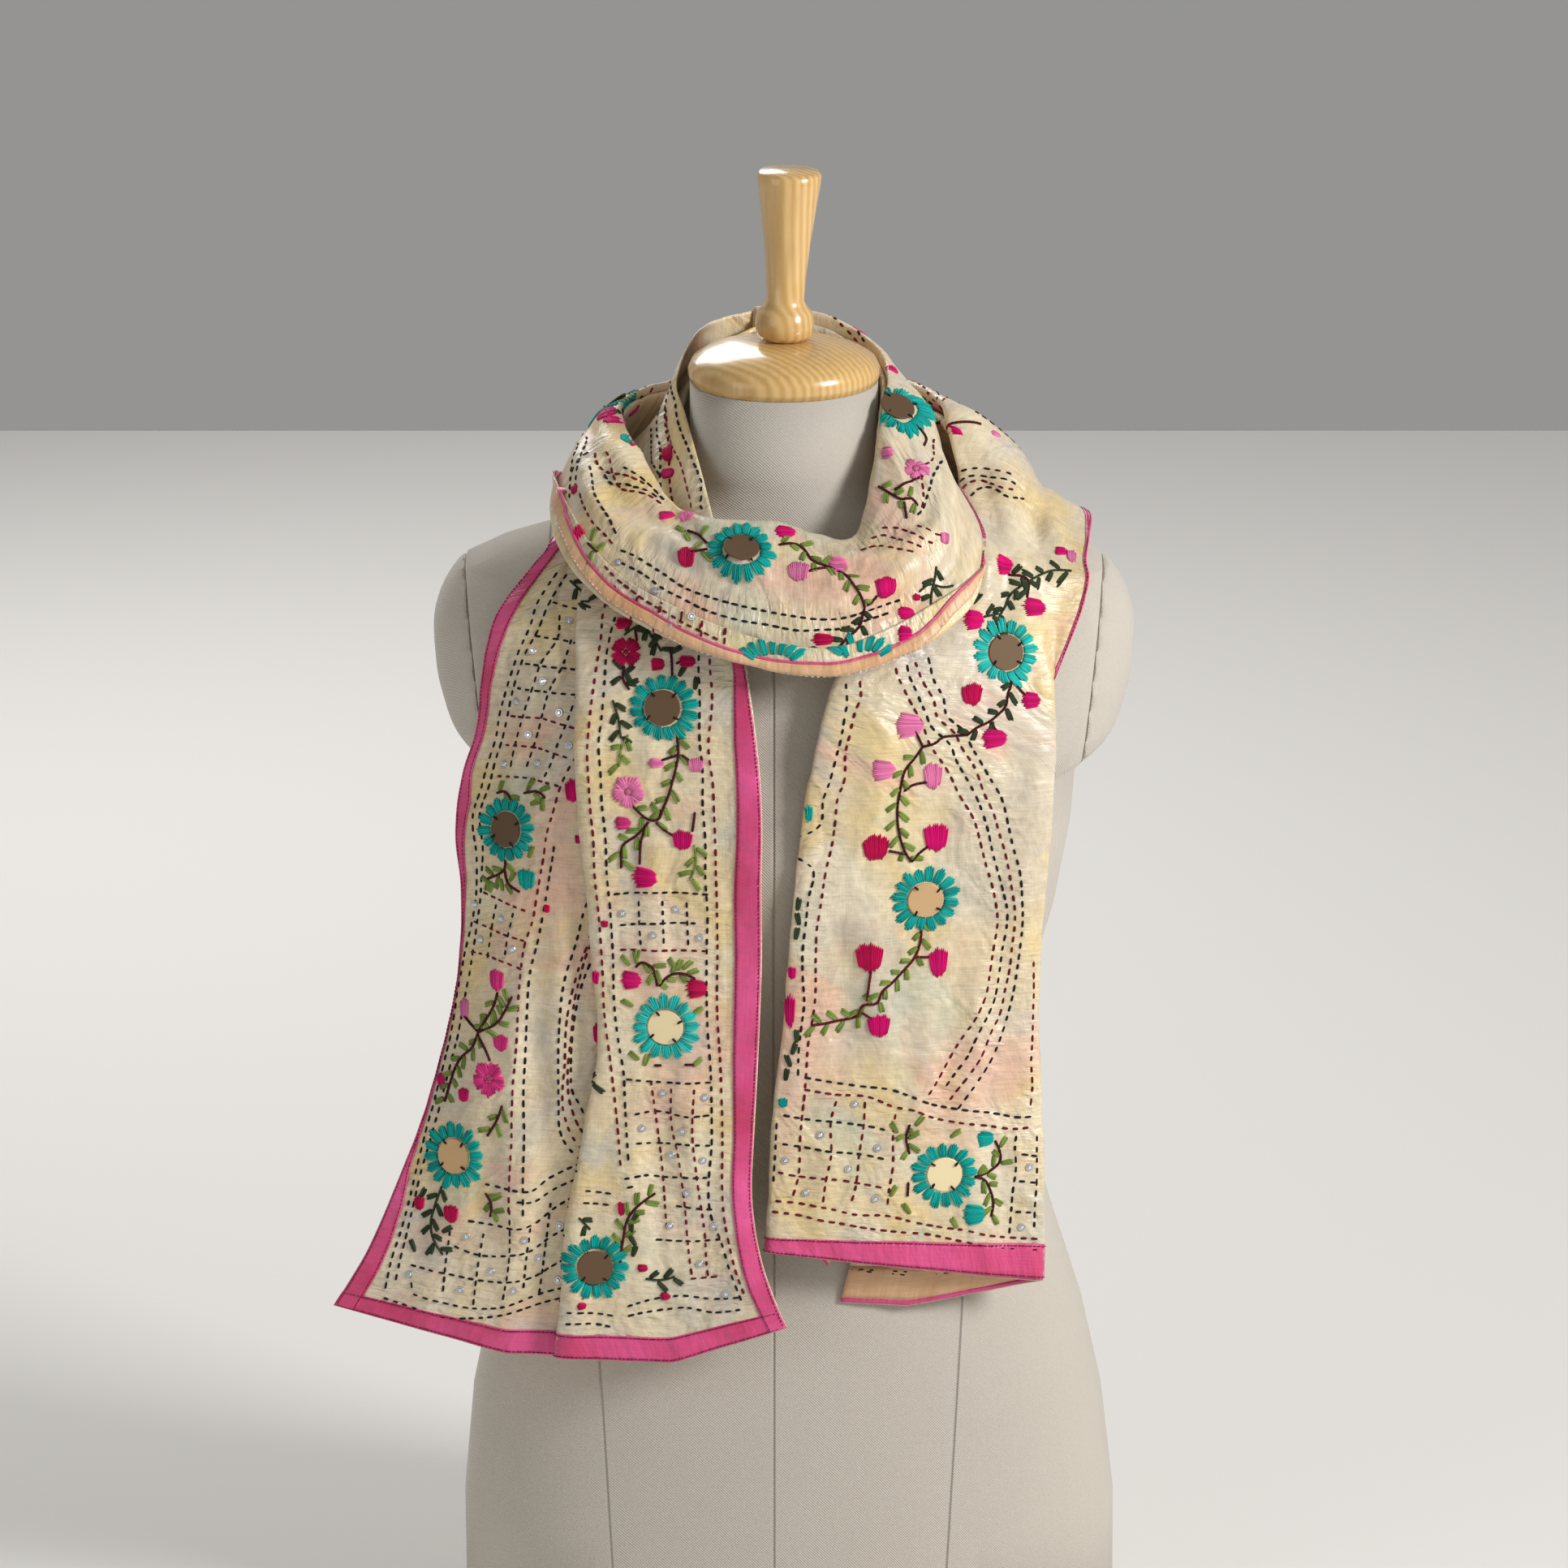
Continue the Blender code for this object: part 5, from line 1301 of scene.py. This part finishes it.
# Stems, and the leaves that grow along them
for region, colour, leaves, *pixels in (
    ("fall", "maroon", "dark leaf", (1242, 828), (1245, 838), (1240, 855), (1232, 870), (1222, 880),
     (1212, 889), (1198, 897), (1190, 905)),
    ("fall", "maroon", None, (1190, 905), (1175, 906), (1155, 909), (1145, 915), (1133, 920)),
    ("fall", "maroon", "olive", (1133, 920), (1122, 933), (1112, 950), (1108, 970), (1105, 990), (1105, 1010),
     (1108, 1030), (1115, 1050), (1122, 1062)),
    ("fall", "maroon", None, (1247, 840), (1260, 856)),
    ("fall", "maroon", None, (1213, 888), (1218, 902)),
    ("fall", "maroon", None, (1133, 920), (1122, 900)),
    ("fall", "maroon", None, (1110, 975), (1122, 967), (1138, 963)),
    ("fall", "maroon", None, (1115, 1052), (1095, 1048)),
    ("fall", "maroon", None, (1122, 1062), (1135, 1048), (1142, 1043)),
    ("fall", "red stem", "olive", (1134, 1133), (1134, 1159), (1127, 1179), (1112, 1196), (1099, 1210),
     (1085, 1223), (1082, 1235), (1060, 1239), (1058, 1248), (1026, 1258), (999, 1263)),
    ("fall", "red stem", None, (1127, 1179), (1144, 1179)),
    ("fall", "red stem", None, (1073, 1196), (1068, 1233)),
    ("fall", "red stem", None, (1060, 1246), (1073, 1255)),
    ("fall", "maroon", "olive", (1119, 1385), (1115, 1402), (1119, 1422)),
    ("fall", "maroon", None, (1119, 1456), (1116, 1474)),
    ("fall", "maroon", "olive", (1200, 1450), (1217, 1443), (1231, 1430), (1231, 1416), (1224, 1405)),
    ("fall", "maroon", "olive", (1200, 1450), (1210, 1452), (1218, 1468), (1223, 1482), (1219, 1499)),
    ("fall", "dark leaf", "dark leaf", (1320, 704), (1301, 703), (1280, 709), (1261, 720), (1247, 731),
     (1239, 747), (1232, 763), (1231, 779)),
    ("fall", "dark leaf", "dark leaf", (1212, 760), (1231, 756)),
    ("fall", "maroon", "dark leaf", (1243, 708), (1265, 712), (1267, 736)),
    ("neck", "maroon", None, (1123, 520), (1135, 533), (1135, 549)),
    ("neck", "maroon", None, (1101, 605), (1115, 591), (1133, 583)),
    ("neck", "maroon", "olive", (1081, 600), (1099, 611), (1109, 617), (1120, 612), (1127, 621)),
    ("neck", "maroon", None, (1113, 619), (1117, 640)),
    ("fall", "maroon", None, (1147, 515), (1163, 516), (1189, 521), (1211, 525)),
    ("cowl", "maroon", "olive", (960, 672), (979, 672), (989, 677), (1003, 693), (1021, 700), (1037, 707),
     (1051, 720), (1059, 731), (1065, 747)),
    ("cowl", "maroon", None, (997, 705), (1017, 701)),
    ("cowl", "maroon", None, (1067, 745), (1080, 733)),
    ("cowl", "maroon", "dark leaf", (1065, 747), (1060, 770), (1040, 790), (1010, 800)),
    ("cowl", "maroon", None, (847, 655), (861, 660), (871, 671)),
    ("cowl", "maroon", "olive", (850, 682), (872, 678)),
    ("cowl", "dark leaf", "dark leaf", (1152, 696), (1148, 715), (1147, 733), (1145, 757)),
    ("cowl", "dark leaf", None, (1131, 729), (1141, 720), (1163, 723), (1173, 721)),
    ("cowl", "maroon", "olive", (724, 669), (736, 681)),
    ("left", "maroon", "dark leaf", (766, 820), (766, 835), (772, 850)),
    ("left", "maroon", None, (776, 775), (782, 790)),
    ("left", "maroon", None, (820, 797), (827, 815), (823, 838)),
    ("left", "maroon", None, (827, 818), (838, 815)),
    ("left", "dark leaf", "dark leaf", (768, 783), (783, 772), (800, 788), (814, 803)),
    ("left", "dark leaf", "dark leaf", (752, 862), (760, 885), (765, 910)),
    ("left", "olive", "olive", (773, 905), (765, 925), (764, 945)),
    ("left", "maroon", "olive", (832, 905), (836, 925), (836, 935), (830, 960), (822, 985), (813, 1005)),
    ("left", "maroon", None, (836, 930), (815, 937)),
    ("left", "maroon", None, (840, 930), (850, 937)),
    ("left", "maroon", "olive", (780, 993), (790, 1003), (800, 1010), (812, 1010), (816, 1000)),
    ("left", "maroon", "olive", (800, 1012), (783, 1030), (768, 1040), (765, 1070)),
    ("left", "maroon", None, (797, 1015), (790, 1035), (788, 1065)),
    ("left", "maroon", None, (808, 1013), (822, 1025), (830, 1030)),
    ("left", "maroon", None, (857, 1000), (853, 1025)),
    ("left", "olive", "olive", (855, 1040), (857, 1065), (850, 1085)),
    ("left", "maroon", "olive", (783, 1192), (790, 1185), (802, 1190), (810, 1215)),
    ("left", "maroon", "olive", (812, 1215), (822, 1203), (840, 1199), (857, 1206)),
    ("left", "maroon", None, (805, 1313), (815, 1313)),
    ("left", "maroon", None, (843, 1312), (855, 1312)),
    ("left", "maroon", "olive", (612, 978), (622, 975), (630, 985)),
    ("left", "maroon", "olive", (645, 978), (665, 977), (672, 985)),
    ("left", "maroon", "olive", (623, 1060), (622, 1072), (615, 1078), (600, 1083)),
    ("left", "maroon", None, (622, 1072), (624, 1088), (640, 1100)),
    ("left", "maroon", "olive", (612, 1222), (608, 1240), (600, 1255), (590, 1272), (582, 1292), (570, 1302),
     (560, 1315), (556, 1330), (550, 1345), (547, 1358)),
    ("left", "maroon", "olive", (590, 1272), (612, 1260), (622, 1247), (629, 1228)),
    ("left", "maroon", None, (590, 1272), (580, 1262), (572, 1252)),
    ("left", "maroon", None, (590, 1275), (597, 1292), (602, 1308)),
    ("left", "maroon", "olive", (617, 1362), (610, 1380), (598, 1400)),
    ("left", "dark leaf", "dark leaf", (543, 1462), (535, 1485), (530, 1505), (530, 1520), (545, 1548)),
    ("left", "maroon", "olive", (597, 1470), (603, 1485), (603, 1500)),
    ("left", "maroon", "olive", (765, 1560), (768, 1530), (775, 1500), (788, 1485), (808, 1470)),
    ("left", "dark leaf", "dark leaf", (795, 1575), (812, 1577), (832, 1573)),
    ("left", "dark leaf", "dark leaf", (713, 1500), (728, 1515)),
    ("left", "dark leaf", "dark leaf", (735, 1310), (735, 1335)),
    ("left", "dark leaf", "dark leaf", (702, 716), (714, 728), (722, 742)),
):
    found = path_seen(region, pixels)
    if found:
        stem(*found, colour=colour, leaves=leaves)

# Single leaves: middle, and the way each leans
for region, colour, *leaves in (
    ("left", "olive", (770, 1182, -40), (785, 1176, 10), (827, 1185, -30), (838, 1187, 20), (848, 1188, 50),
     (772, 1235, -60), (860, 1245, 60), (780, 1300, -50), (797, 1305, 20), (860, 1308, 50), (655, 965, 40),
     (660, 990, 70), (598, 1085, -50), (632, 1080, 30), (655, 1050, 20), (610, 1475, 60), (615, 1492, 80),
     (605, 1093, 20), (618, 1090, -10), (627, 1095, -30)),
    ("left", "dark leaf", (518, 1470, 30), (508, 1535, -20), (528, 1540, 40), (550, 1515, 60),
     (803, 790, 40), (830, 800, 60), (840, 825, 30), (853, 840, 10), (755, 817, -40),
     (775, 825, 50), (777, 840, 70), (783, 1500, 30), (778, 1513, 0), (780, 1527, -30), (783, 1540, 20)),
    ("fall", "dark leaf", (984, 1112, 10), (983, 1130, -10), (982, 1148, 10), (981, 1275, 0), (977, 1290, 20),
     (970, 1305, -20), (969, 1322, 10), (1190, 735, 40)),
    ("fall", "olive", (1101, 1388, -30), (1133, 1380, 40), (1127, 1398, 60), (1178, 1396, 55),
     (1172, 1505, -30), (1099, 1466, 30), (1116, 1488, -35)),
    ("cowl", "olive", (837, 653, -60), (847, 662, -20), (869, 654, 40), (732, 659, 20), (740, 676, 50)),
):
    for u, v, lean in leaves:
        leaf_seen(region, colour, u, v, lean)

# Set stones
for region, *places in (
    ("left", (700, 765), (657, 802), (669, 839), (636, 865), (688, 878), (649, 905), (701, 919), (620, 942),
     (661, 942), (618, 1134), (591, 1158), (629, 1170), (585, 1115), (572, 1524), (502, 1570), (565, 1589),
     (603, 1566), (630, 1590), (643, 1528), (661, 1550), (687, 1510), (687, 1577), (767, 1125), (832, 1120),
     (805, 1152), (862, 1155), (817, 1347), (868, 1352), (791, 1390), (841, 1394), (827, 1423), (866, 1430),
     (847, 1470), (826, 1510), (880, 1510), (863, 1557), (895, 1594)),
    ("fall", (1053, 1360), (1009, 1398), (1080, 1414), (967, 1429), (1043, 1440), (992, 1469), (1076, 1477),
     (1266, 1438), (1256, 1512)),
    ("cowl", (761, 696), (807, 731), (853, 760), (827, 771)),
):
    for u, v in places:
        spot = spot_seen(region, u, v)
        if spot:
            stones.append(spot)

# The stretches that the photograph doesn't show carry on the same border: rows on both of its
# sides, panels of checks with stones and panels of flowers by turns, and waves in the field.
CHECK_PITCH = 13.3


def check_panel(cloth, start, near, far):
    """Four rows crossed by three, with a stone in every other check."""
    for k, colour in enumerate(("black", "black", "dark red", "black")):
        over = np.linspace(near + 3, far - 3, 6)
        seam(colour, cloth, 1, np.full(6, start + CHECK_PITCH * k), over, CHECK)
    for k in (1, 2, 3):
        run = np.linspace(start, start + 40, 6)
        seam("dark red", cloth, 1, run, np.full(6, near + k * (far - near) / 4), CHECK)
    for k in range(6):
        along = start + 6.6 + CHECK_PITCH * (k // 2)
        across = near + (k % 2 * 2 + k // 2 % 2 + 0.5) * (far - near) / 4
        stones.append(Spot(cloth, 1, along, across, cloth_heading(0)))


def flower_panel(cloth, middle, deep, tint):
    """A mirror flower with a leafy stem and three buds on both sides of it."""
    mirror_flower(Spot(cloth, 1, middle, deep, cloth_heading(rng.uniform(-20, 20))), "teal", tint)
    for way in (-1, 1):
        places = np.array(((20, 2), (25, 7), (30, 2), (35, -7), (38, -12))) * (way, way) + (middle, deep)
        stem(cloth, 1, smooth_path(cloth, places), leaves="olive" if way > 0 else "dark leaf")
        for along, across, colour in ((29, 15, "magenta"), (37, 5, "light pink"), (27, -13, "crimson")):
            stem(cloth, 1, smooth_path(cloth, np.array(((31, -1), (along, across))) * way + (middle, deep)))
            bud(Spot(cloth, 1, middle + way * along, deep + way * across, cloth_heading(90)), colour, 12, 13)


def rows_across(cloth, start, end, *rows):
    """Rows along the sheet, each with its colour and its distances from the edge at both ends."""
    for colour, first, last in rows:
        run = np.arange(start, end, 8.0)
        seam(colour, cloth, 1, run, np.interp(run, (start, end), (first, last)), ROW)


rows_across(wrap, 520, 846, ("black", 26, 26), ("black", 32, 32), ("black", 98, 98),
            ("dark red", 104.5, 104.5))
rows_across(wrap, 2, 96, ("black", 98, 102), ("dark red", 104, 108))
rows_across(wrap, 470, 520, ("black", 42, 32), ("black", 36, 26))
for start in (590, 700, 808):
    check_panel(wrap, start, 32, 98)
# The mirrors of these flowers get painted reflection colours: brown, tan and cream in turn
for middle, tint in ((551, "brown"), (665, "tan"), (774, "cream")):
    flower_panel(wrap, middle, 65, tint)
flower_panel(wrap, 44, 80, "tan")
run = np.arange(560.0, 850.0, 6.0)
for k, colour in enumerate(("dark red", "black", "dark red", "black")):
    seam(colour, wrap, 1, run, 122 + 6 * k + 9 * np.sin(run / 28.0), ROW)
run = np.arange(505.0, 662.0, 8.0)
for deep, colour in ((24, "dark red"), (30, "black")):
    seam(colour, left, 1, run, left.width_at(run) - deep, ROW)

# One stitch is a rounded mound with sunk ends: rings of four points between two tips
RING_PLACES = ((-0.38, 0.82), (-0.14, 1.0), (0.14, 1.0), (0.38, 0.82))
RING_SHAPE = ((-0.5, -0.25), (-0.27, 1.0), (0.27, 1.0), (0.5, -0.25))
unit_points = [(-0.5, 0.0, -0.15)]
for place, fullness in RING_PLACES:
    unit_points += [(place, y * fullness, z * fullness if z > 0 else z) for y, z in RING_SHAPE]
unit_points.append((0.5, 0.0, -0.15))
unit_points = np.array(unit_points)
unit_faces = []
for k in range(4):
    after = (k + 1) % 4
    unit_faces.append((0, 1 + k, 1 + after))
    for ring in range(3):
        low, high = 1 + 4 * ring, 5 + 4 * ring
        unit_faces.append((low + after, low + k, high + k, high + after))
    unit_faces.append((13 + after, 13 + k, 17))


def stitch_mesh(name, cloth, rows, finish, lift):
    """All the stitches of one colour on one sheet, as one mesh."""
    rows = np.array(rows, float)
    side, a0, c0, a1, c1, width, height, tone = rows.T
    share = unit_points[None, :, 0] + 0.5
    along = a0[:, None] + (a1 - a0)[:, None] * share
    across = c0[:, None] + (c1 - c0)[:, None] * share
    points, normals = cloth.at(along, across)
    normals = normals * side[:, None, None]
    way = points[:, -1] - points[:, 0]
    length = np.linalg.norm(way, axis=1)
    way = way / np.maximum(length, 1e-6)[:, None]
    over = np.cross(normals, way[:, None, :])
    over /= np.maximum(np.linalg.norm(over, axis=2, keepdims=True), 1e-6)
    base = CLOTH_WALL / 2 + lift
    points = (points + over * (unit_points[None, :, 1] * width[:, None])[..., None]
              + normals * (base + unit_points[None, :, 2] * height[:, None])[..., None])
    mesh = bpy.data.meshes.new(name)
    starts = range(0, len(rows) * len(unit_points), len(unit_points))
    faces = [[start + corner for corner in face] for start in starts for face in unit_faces]
    mesh.from_pydata((points.reshape(-1, 3) * MM).tolist(), [], faces)
    layer = mesh.uv_layers.new(name="thread")
    loops = np.empty(len(mesh.loops), dtype=np.int32)
    mesh.loops.foreach_get("vertex_index", loops)
    owner, corner = np.divmod(loops, len(unit_points))
    flat = np.column_stack((unit_points[corner, 0] * length[owner], unit_points[corner, 1] * width[owner]))
    layer.data.foreach_set("uv", flat.ravel())
    tones = mesh.attributes.new("tone", "FLOAT", "POINT")
    tones.data.foreach_set("value", np.repeat(tone, len(unit_points)))
    mesh.update()
    mesh.shade_smooth()
    mesh.materials.append(finish)
    made = bpy.data.objects.new(name, mesh)
    bpy.context.scene.collection.objects.link(made)
    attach(made, "root")


# How far apart a thread's strands lie, and how steeply they wind
STRAND_PITCH = 0.9
STRAND_SLANT = 2.2


def thread_finish(name, colour):
    """Twisted thread: its strands wind round it, and its shade drifts from stitch to stitch."""
    paint = Paint(name, colour, 0.55, Specular_IOR_Level=0.22)
    tone = paint.node("Attribute", {}, 2, attribute_name="tone")
    place = paint.node("UVMap", {}, uv_map="thread")
    x, y = paint.parts(place, 2)
    slant = paint.math("MULTIPLY_ADD", y, STRAND_SLANT, x)
    wound = paint.math("SINE", paint.math("MULTIPLY", slant, 2 * pi / STRAND_PITCH))
    shade = paint.math("MULTIPLY_ADD", wound, 0.08, paint.math("MULTIPLY_ADD", tone, 0.6, 0.7))
    return paint.finish(paint.shaded(colour, shade), paint.bump(wound, 0.00015, 0.7))


# Linear colour of each thread, and how far its stitches lie above the cloth
THREADS = {
    "black": ((0.012, 0.010, 0.012), 0.0), "dark red": ((0.16, 0.006, 0.014), 0.0),
    "teal": ((0.0, 0.42, 0.37), 0.0), "light teal": ((0.02, 0.58, 0.52), 0.0),
    "magenta": ((0.74, 0.0, 0.17), 0.0), "crimson": ((0.62, 0.0, 0.085), 0.0),
    "pink": ((0.80, 0.04, 0.25), 0.0), "light pink": ((0.92, 0.23, 0.48), 0.0),
    "olive": ((0.22, 0.31, 0.06), 0.0), "dark leaf": ((0.035, 0.055, 0.022), 0.0),
    "maroon": ((0.07, 0.006, 0.009), 0.15), "red stem": ((0.14, 0.005, 0.012), 0.15),
    "tie": ((0.02, 0.008, 0.01), 1.5), "seam": ((0.75, 0.70, 0.62), 0.5), "edge": ((0.22, 0.008, 0.05), 0.6),
}
finishes = {}
for (colour, sheet), rows in stitches.items():
    shade, lift = THREADS[colour]
    if colour not in finishes:
        finishes[colour] = thread_finish(colour.replace(" ", "_") + "_thread", shade)
    name = f"{sheet.split('_')[0]}_{colour.replace(' ', '_')}_thread"
    stitch_mesh(name, left if sheet == left.name else wrap, rows, finishes[colour], lift)


# The mirrors are thin round glass with bevelled rims, held down by thread ties at four places.
# They are turned as discs and laid on the cloth; each has a painted reflection of the warm room as its
# colour.
def laid(made, spot, lift):
    """A copy of a modelled piece, set on the cloth at a spot."""
    mesh = made.data.copy()
    place = Matrix.Translation(Vector((spot.point + spot.normal * lift) * MM))
    turn = Matrix((spot.x, spot.y, spot.normal)).transposed().to_4x4()
    mesh.transform(place @ turn)
    copy = bpy.data.objects.new(made.name, mesh)
    bpy.context.scene.collection.objects.link(copy)
    return copy


def joined(name, parts):
    """Join many pieces into one of this name."""
    bpy.ops.object.select_all(action="DESELECT")
    for part in parts:
        part.select_set(True)
    bpy.context.view_layer.objects.active = parts[0]
    bpy.ops.object.join()
    parts[0].name = name
    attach(parts[0], "root")


def bevelled(made, width, segments=2):
    edge = made.modifiers.new("edge", "BEVEL")
    edge.width = width * MM
    edge.segments = segments
    edge.limit_method = "ANGLE"
    bpy.ops.object.modifier_apply(modifier=edge.name)


def rise_under(spot):
    """How far the cloth under a mirror stands above its middle."""
    turns = np.linspace(0, 2 * pi, 16, endpoint=False)
    places = np.array([spot.to(reach * cos(turn), reach * sin(turn))
                       for turn in turns for reach in (6.0, 9.5)])
    points, _ = spot.cloth.at(*places.T)
    return max(0.0, float(((points - spot.point) @ spot.normal).max()) - 0.4)


# The mirrors' brown, tan and cream colours are painted reflections of the room; the glass reflects only a
# little for real
MIRROR_REFLECTION_COLOURS = {"brown": (0.145, 0.09, 0.05), "tan": (0.66, 0.43, 0.22), "cream": (0.92, 0.77, 0.47)}
MIRROR_LIFT = 1.0
bpy.ops.mesh.primitive_cylinder_add(vertices=56, radius=MIRROR_RADIUS * MM, depth=1.1 * MM)
mirror = bpy.context.object
mirror.name = "mirror"
bevelled(mirror, 0.4)
for tint, colour in MIRROR_REFLECTION_COLOURS.items():
    glass = plain("mirror_" + tint, colour, 0.42, Metallic=0.25, Specular_IOR_Level=0.2)
    mirror.data.materials.clear()
    mirror.data.materials.append(glass)
    spots = [spot for spot, own in mirrors if own == tint]
    joined("mirrors_" + tint, [laid(mirror, spot, MIRROR_LIFT + rise_under(spot)) for spot in spots])
bpy.data.objects.remove(mirror)

# The set stones are faceted glass in small silver cups, sewn on inside the checks.
# Cup and glass are turned, and the facets are the sides of a low cone.
silver = plain("silver", (0.62, 0.62, 0.64), 0.25, Metallic=1.0)
crystal = plain("crystal", (0.80, 0.82, 0.85), 0.06, Metallic=0.85)
bpy.ops.mesh.primitive_torus_add(major_radius=1.9 * MM, minor_radius=0.45 * MM, major_segments=20,
                                 minor_segments=6)
cup = bpy.context.object
cup.name = "cup"
cup.data.materials.append(silver)
bpy.ops.mesh.primitive_cone_add(vertices=9, radius1=1.8 * MM, radius2=0.95 * MM, depth=1.2 * MM)
glass = bpy.context.object
glass.name = "stone"
bevelled(glass, 0.12, 1)
glass.data.materials.append(crystal)
joined("stone_cups", [laid(cup, spot, 0.8) for spot in stones])
joined("stone_glass", [laid(glass, spot, 1.1) for spot in stones])
bpy.data.objects.remove(cup)
bpy.data.objects.remove(glass)

# The padded form has an oatmeal linen cover in a fine twill, cut in panels: a seam runs down the
# middle of its front and back, and one on each side of them. It is stretched over the padding.
LINEN_COLOUR = (0.56, 0.51, 0.44)
TWILL_PITCH = 0.0017
SEAM_HALF_WIDTH = 0.0011
paint = Paint("linen", LINEN_COLOUR, 0.9, Sheen_Weight=0.2)
here = paint.node("TexCoord", {}, 3)
x, y, z = paint.parts(here)
slant = paint.math("ADD", paint.math("MULTIPLY_ADD", y, 0.7, x), z)
twill = paint.math("SINE", paint.math("MULTIPLY", slant, 2 * pi / TWILL_PITCH))
yarn = paint.noise(here, 900.0, 3.0)
worn = paint.noise(here, 9.0, 3.0)
shade = paint.math("MULTIPLY_ADD", twill, 0.045, 0.85)
shade = paint.math("MULTIPLY_ADD", yarn, 0.20, shade)
shade = paint.math("MULTIPLY_ADD", worn, 0.10, shade)
lines = 0.0
for middle, lean in ((-0.006, 0.0), (0.092, 0.055), (-0.098, -0.055)):
    away = paint.math("SUBTRACT", paint.math("SUBTRACT", x, middle), paint.math("MULTIPLY", z, lean))
    line = paint.math("SUBTRACT", 1.0, paint.math("DIVIDE", paint.math("ABSOLUTE", away), SEAM_HALF_WIDTH))
    lines = paint.math("MAXIMUM", lines, paint.math("MAXIMUM", line, 0.0))
lines = paint.math("MULTIPLY", lines, paint.mask(z, 0.675, 0.672))
shade = paint.math("MULTIPLY_ADD", lines, -0.32, shade)
normal = paint.bump(paint.math("MULTIPLY_ADD", yarn, 1.2, twill), 0.00014, 0.7)
linen = paint.finish(paint.shaded(LINEN_COLOUR, shade), paint.bump(lines, -0.0008, 1.0, normal))

# The neck cap and the finial are turned wood under a honey varnish. Both are on one spindle.
# The grain shows as drawn-out rings where the turning cuts through it.
GRAIN_PITCH = 0.0065
paint = Paint("wood", (0.58, 0.36, 0.15), 0.3, Coat_Weight=0.6, Coat_Roughness=0.1)
here = paint.node("TexCoord", {}, 3)
bend = paint.noise(here, 7.0, 2.0, stretch=(1, 1, 0.35))
x, y, z = paint.parts(here)
depth = paint.math("MULTIPLY_ADD", bend, 0.055, paint.math("MULTIPLY_ADD", z, 0.10, paint.math("ADD", y, x)))
rings = paint.math("SINE", paint.math("MULTIPLY", depth, 2 * pi / GRAIN_PITCH))
pores = paint.noise(here, 260.0, 3.0, stretch=(1, 1, 0.08))
colour = paint.mix(paint.mask(rings, -0.9, 1.0, 0.8), (0.76, 0.50, 0.20), (0.57, 0.33, 0.10))
colour = paint.mix(paint.mask(pores, 0.5, 0.8, 0.35), colour, (0.34, 0.17, 0.055))
wood = paint.finish(colour, paint.bump(pores, 0.0002, 0.4))

# Each cover is a smooth copy of its node. The stumps are rounded over their padding, less and less
# up to the seam with the body.
STUMP_NET = 2.0
STUMP_BLEND = 20.0
STUMP_ROUNDS = 130
SHARP_ANGLE = radians(38)
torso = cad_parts["form_torso"].data
torso_tree = BVHTree.FromPolygons([vert.co / MM for vert in torso.vertices],
                                  [list(face.vertices) for face in torso.polygons])
for node, name, finish in (
    ("form_torso", "linen_body", linen), ("arm_stump_left", "linen_left_stump", linen),
    ("arm_stump_right", "linen_right_stump", linen), ("neck_cap", "wooden_cap", wood),
    ("finial", "wooden_finial", wood),
):
    shape = bmesh.new()
    shape.from_mesh(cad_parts[node].data)
    bmesh.ops.remove_doubles(shape, verts=shape.verts, dist=0.02 * MM)
    mesh = bpy.data.meshes.new(name)
    shape.to_mesh(mesh)
    shape.free()
    mesh.materials.append(finish)
    cover = bpy.data.objects.new(name, mesh)
    bpy.context.scene.collection.objects.link(cover)
    if "stump" in name:
        bpy.context.view_layer.objects.active = cover
        net = cover.modifiers.new("net", "REMESH")
        net.mode = "VOXEL"
        net.voxel_size = STUMP_NET * MM
        bpy.ops.object.modifier_apply(modifier=net.name)
        mesh = cover.data
        free = cover.vertex_groups.new(name="free")
        for vert in mesh.vertices:
            away = torso_tree.find_nearest(vert.co / MM)[3]
            free.add([vert.index], min(1, away / STUMP_BLEND), "REPLACE")
        rounding = cover.modifiers.new("rounding", "SMOOTH")
        rounding.factor = 0.5
        rounding.iterations = STUMP_ROUNDS
        rounding.vertex_group = free.name
        bpy.ops.object.modifier_apply(modifier=rounding.name)
    mesh.shade_smooth()
    mesh.set_sharp_from_angle(angle=SHARP_ANGLE)
    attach(cover, "root")
    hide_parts(node)

bpy.ops.mesh.primitive_plane_add(size=6)
floor = bpy.context.object
floor.name = "floor"
floor.data.materials.append(plain("floor", (0.75, 0.73, 0.70), 0.8))

# A strong light from the viewer's right, a weak one from the left and one from behind, all turned
# to the middle of the form
LIGHT_AIM = Vector((0, 0, 0.5))
for name, place, size, power in (
    ("key", (2.5, -1.6, 1.9), 0.9, 92), ("fill", (-2.3, -1.9, 1.3), 1.6, 9),
    ("back", (-0.8, 2.2, 2.0), 1.4, 40),
):
    bpy.ops.object.light_add(type="AREA", location=place)
    light = bpy.context.object
    light.name = name
    light.data.size = size
    light.data.energy = power
    way = LIGHT_AIM - Vector(place)
    light.rotation_euler = way.to_track_quat("-Z", "Y").to_euler()

world = bpy.data.worlds.new("room")
world.use_nodes = True
world.node_tree.nodes["Background"].inputs["Color"].default_value = (0.88, 0.87, 0.85, 1)
world.node_tree.nodes["Background"].inputs["Strength"].default_value = 0.34
bpy.context.scene.world = world
bpy.context.scene.view_settings.view_transform = "Standard"
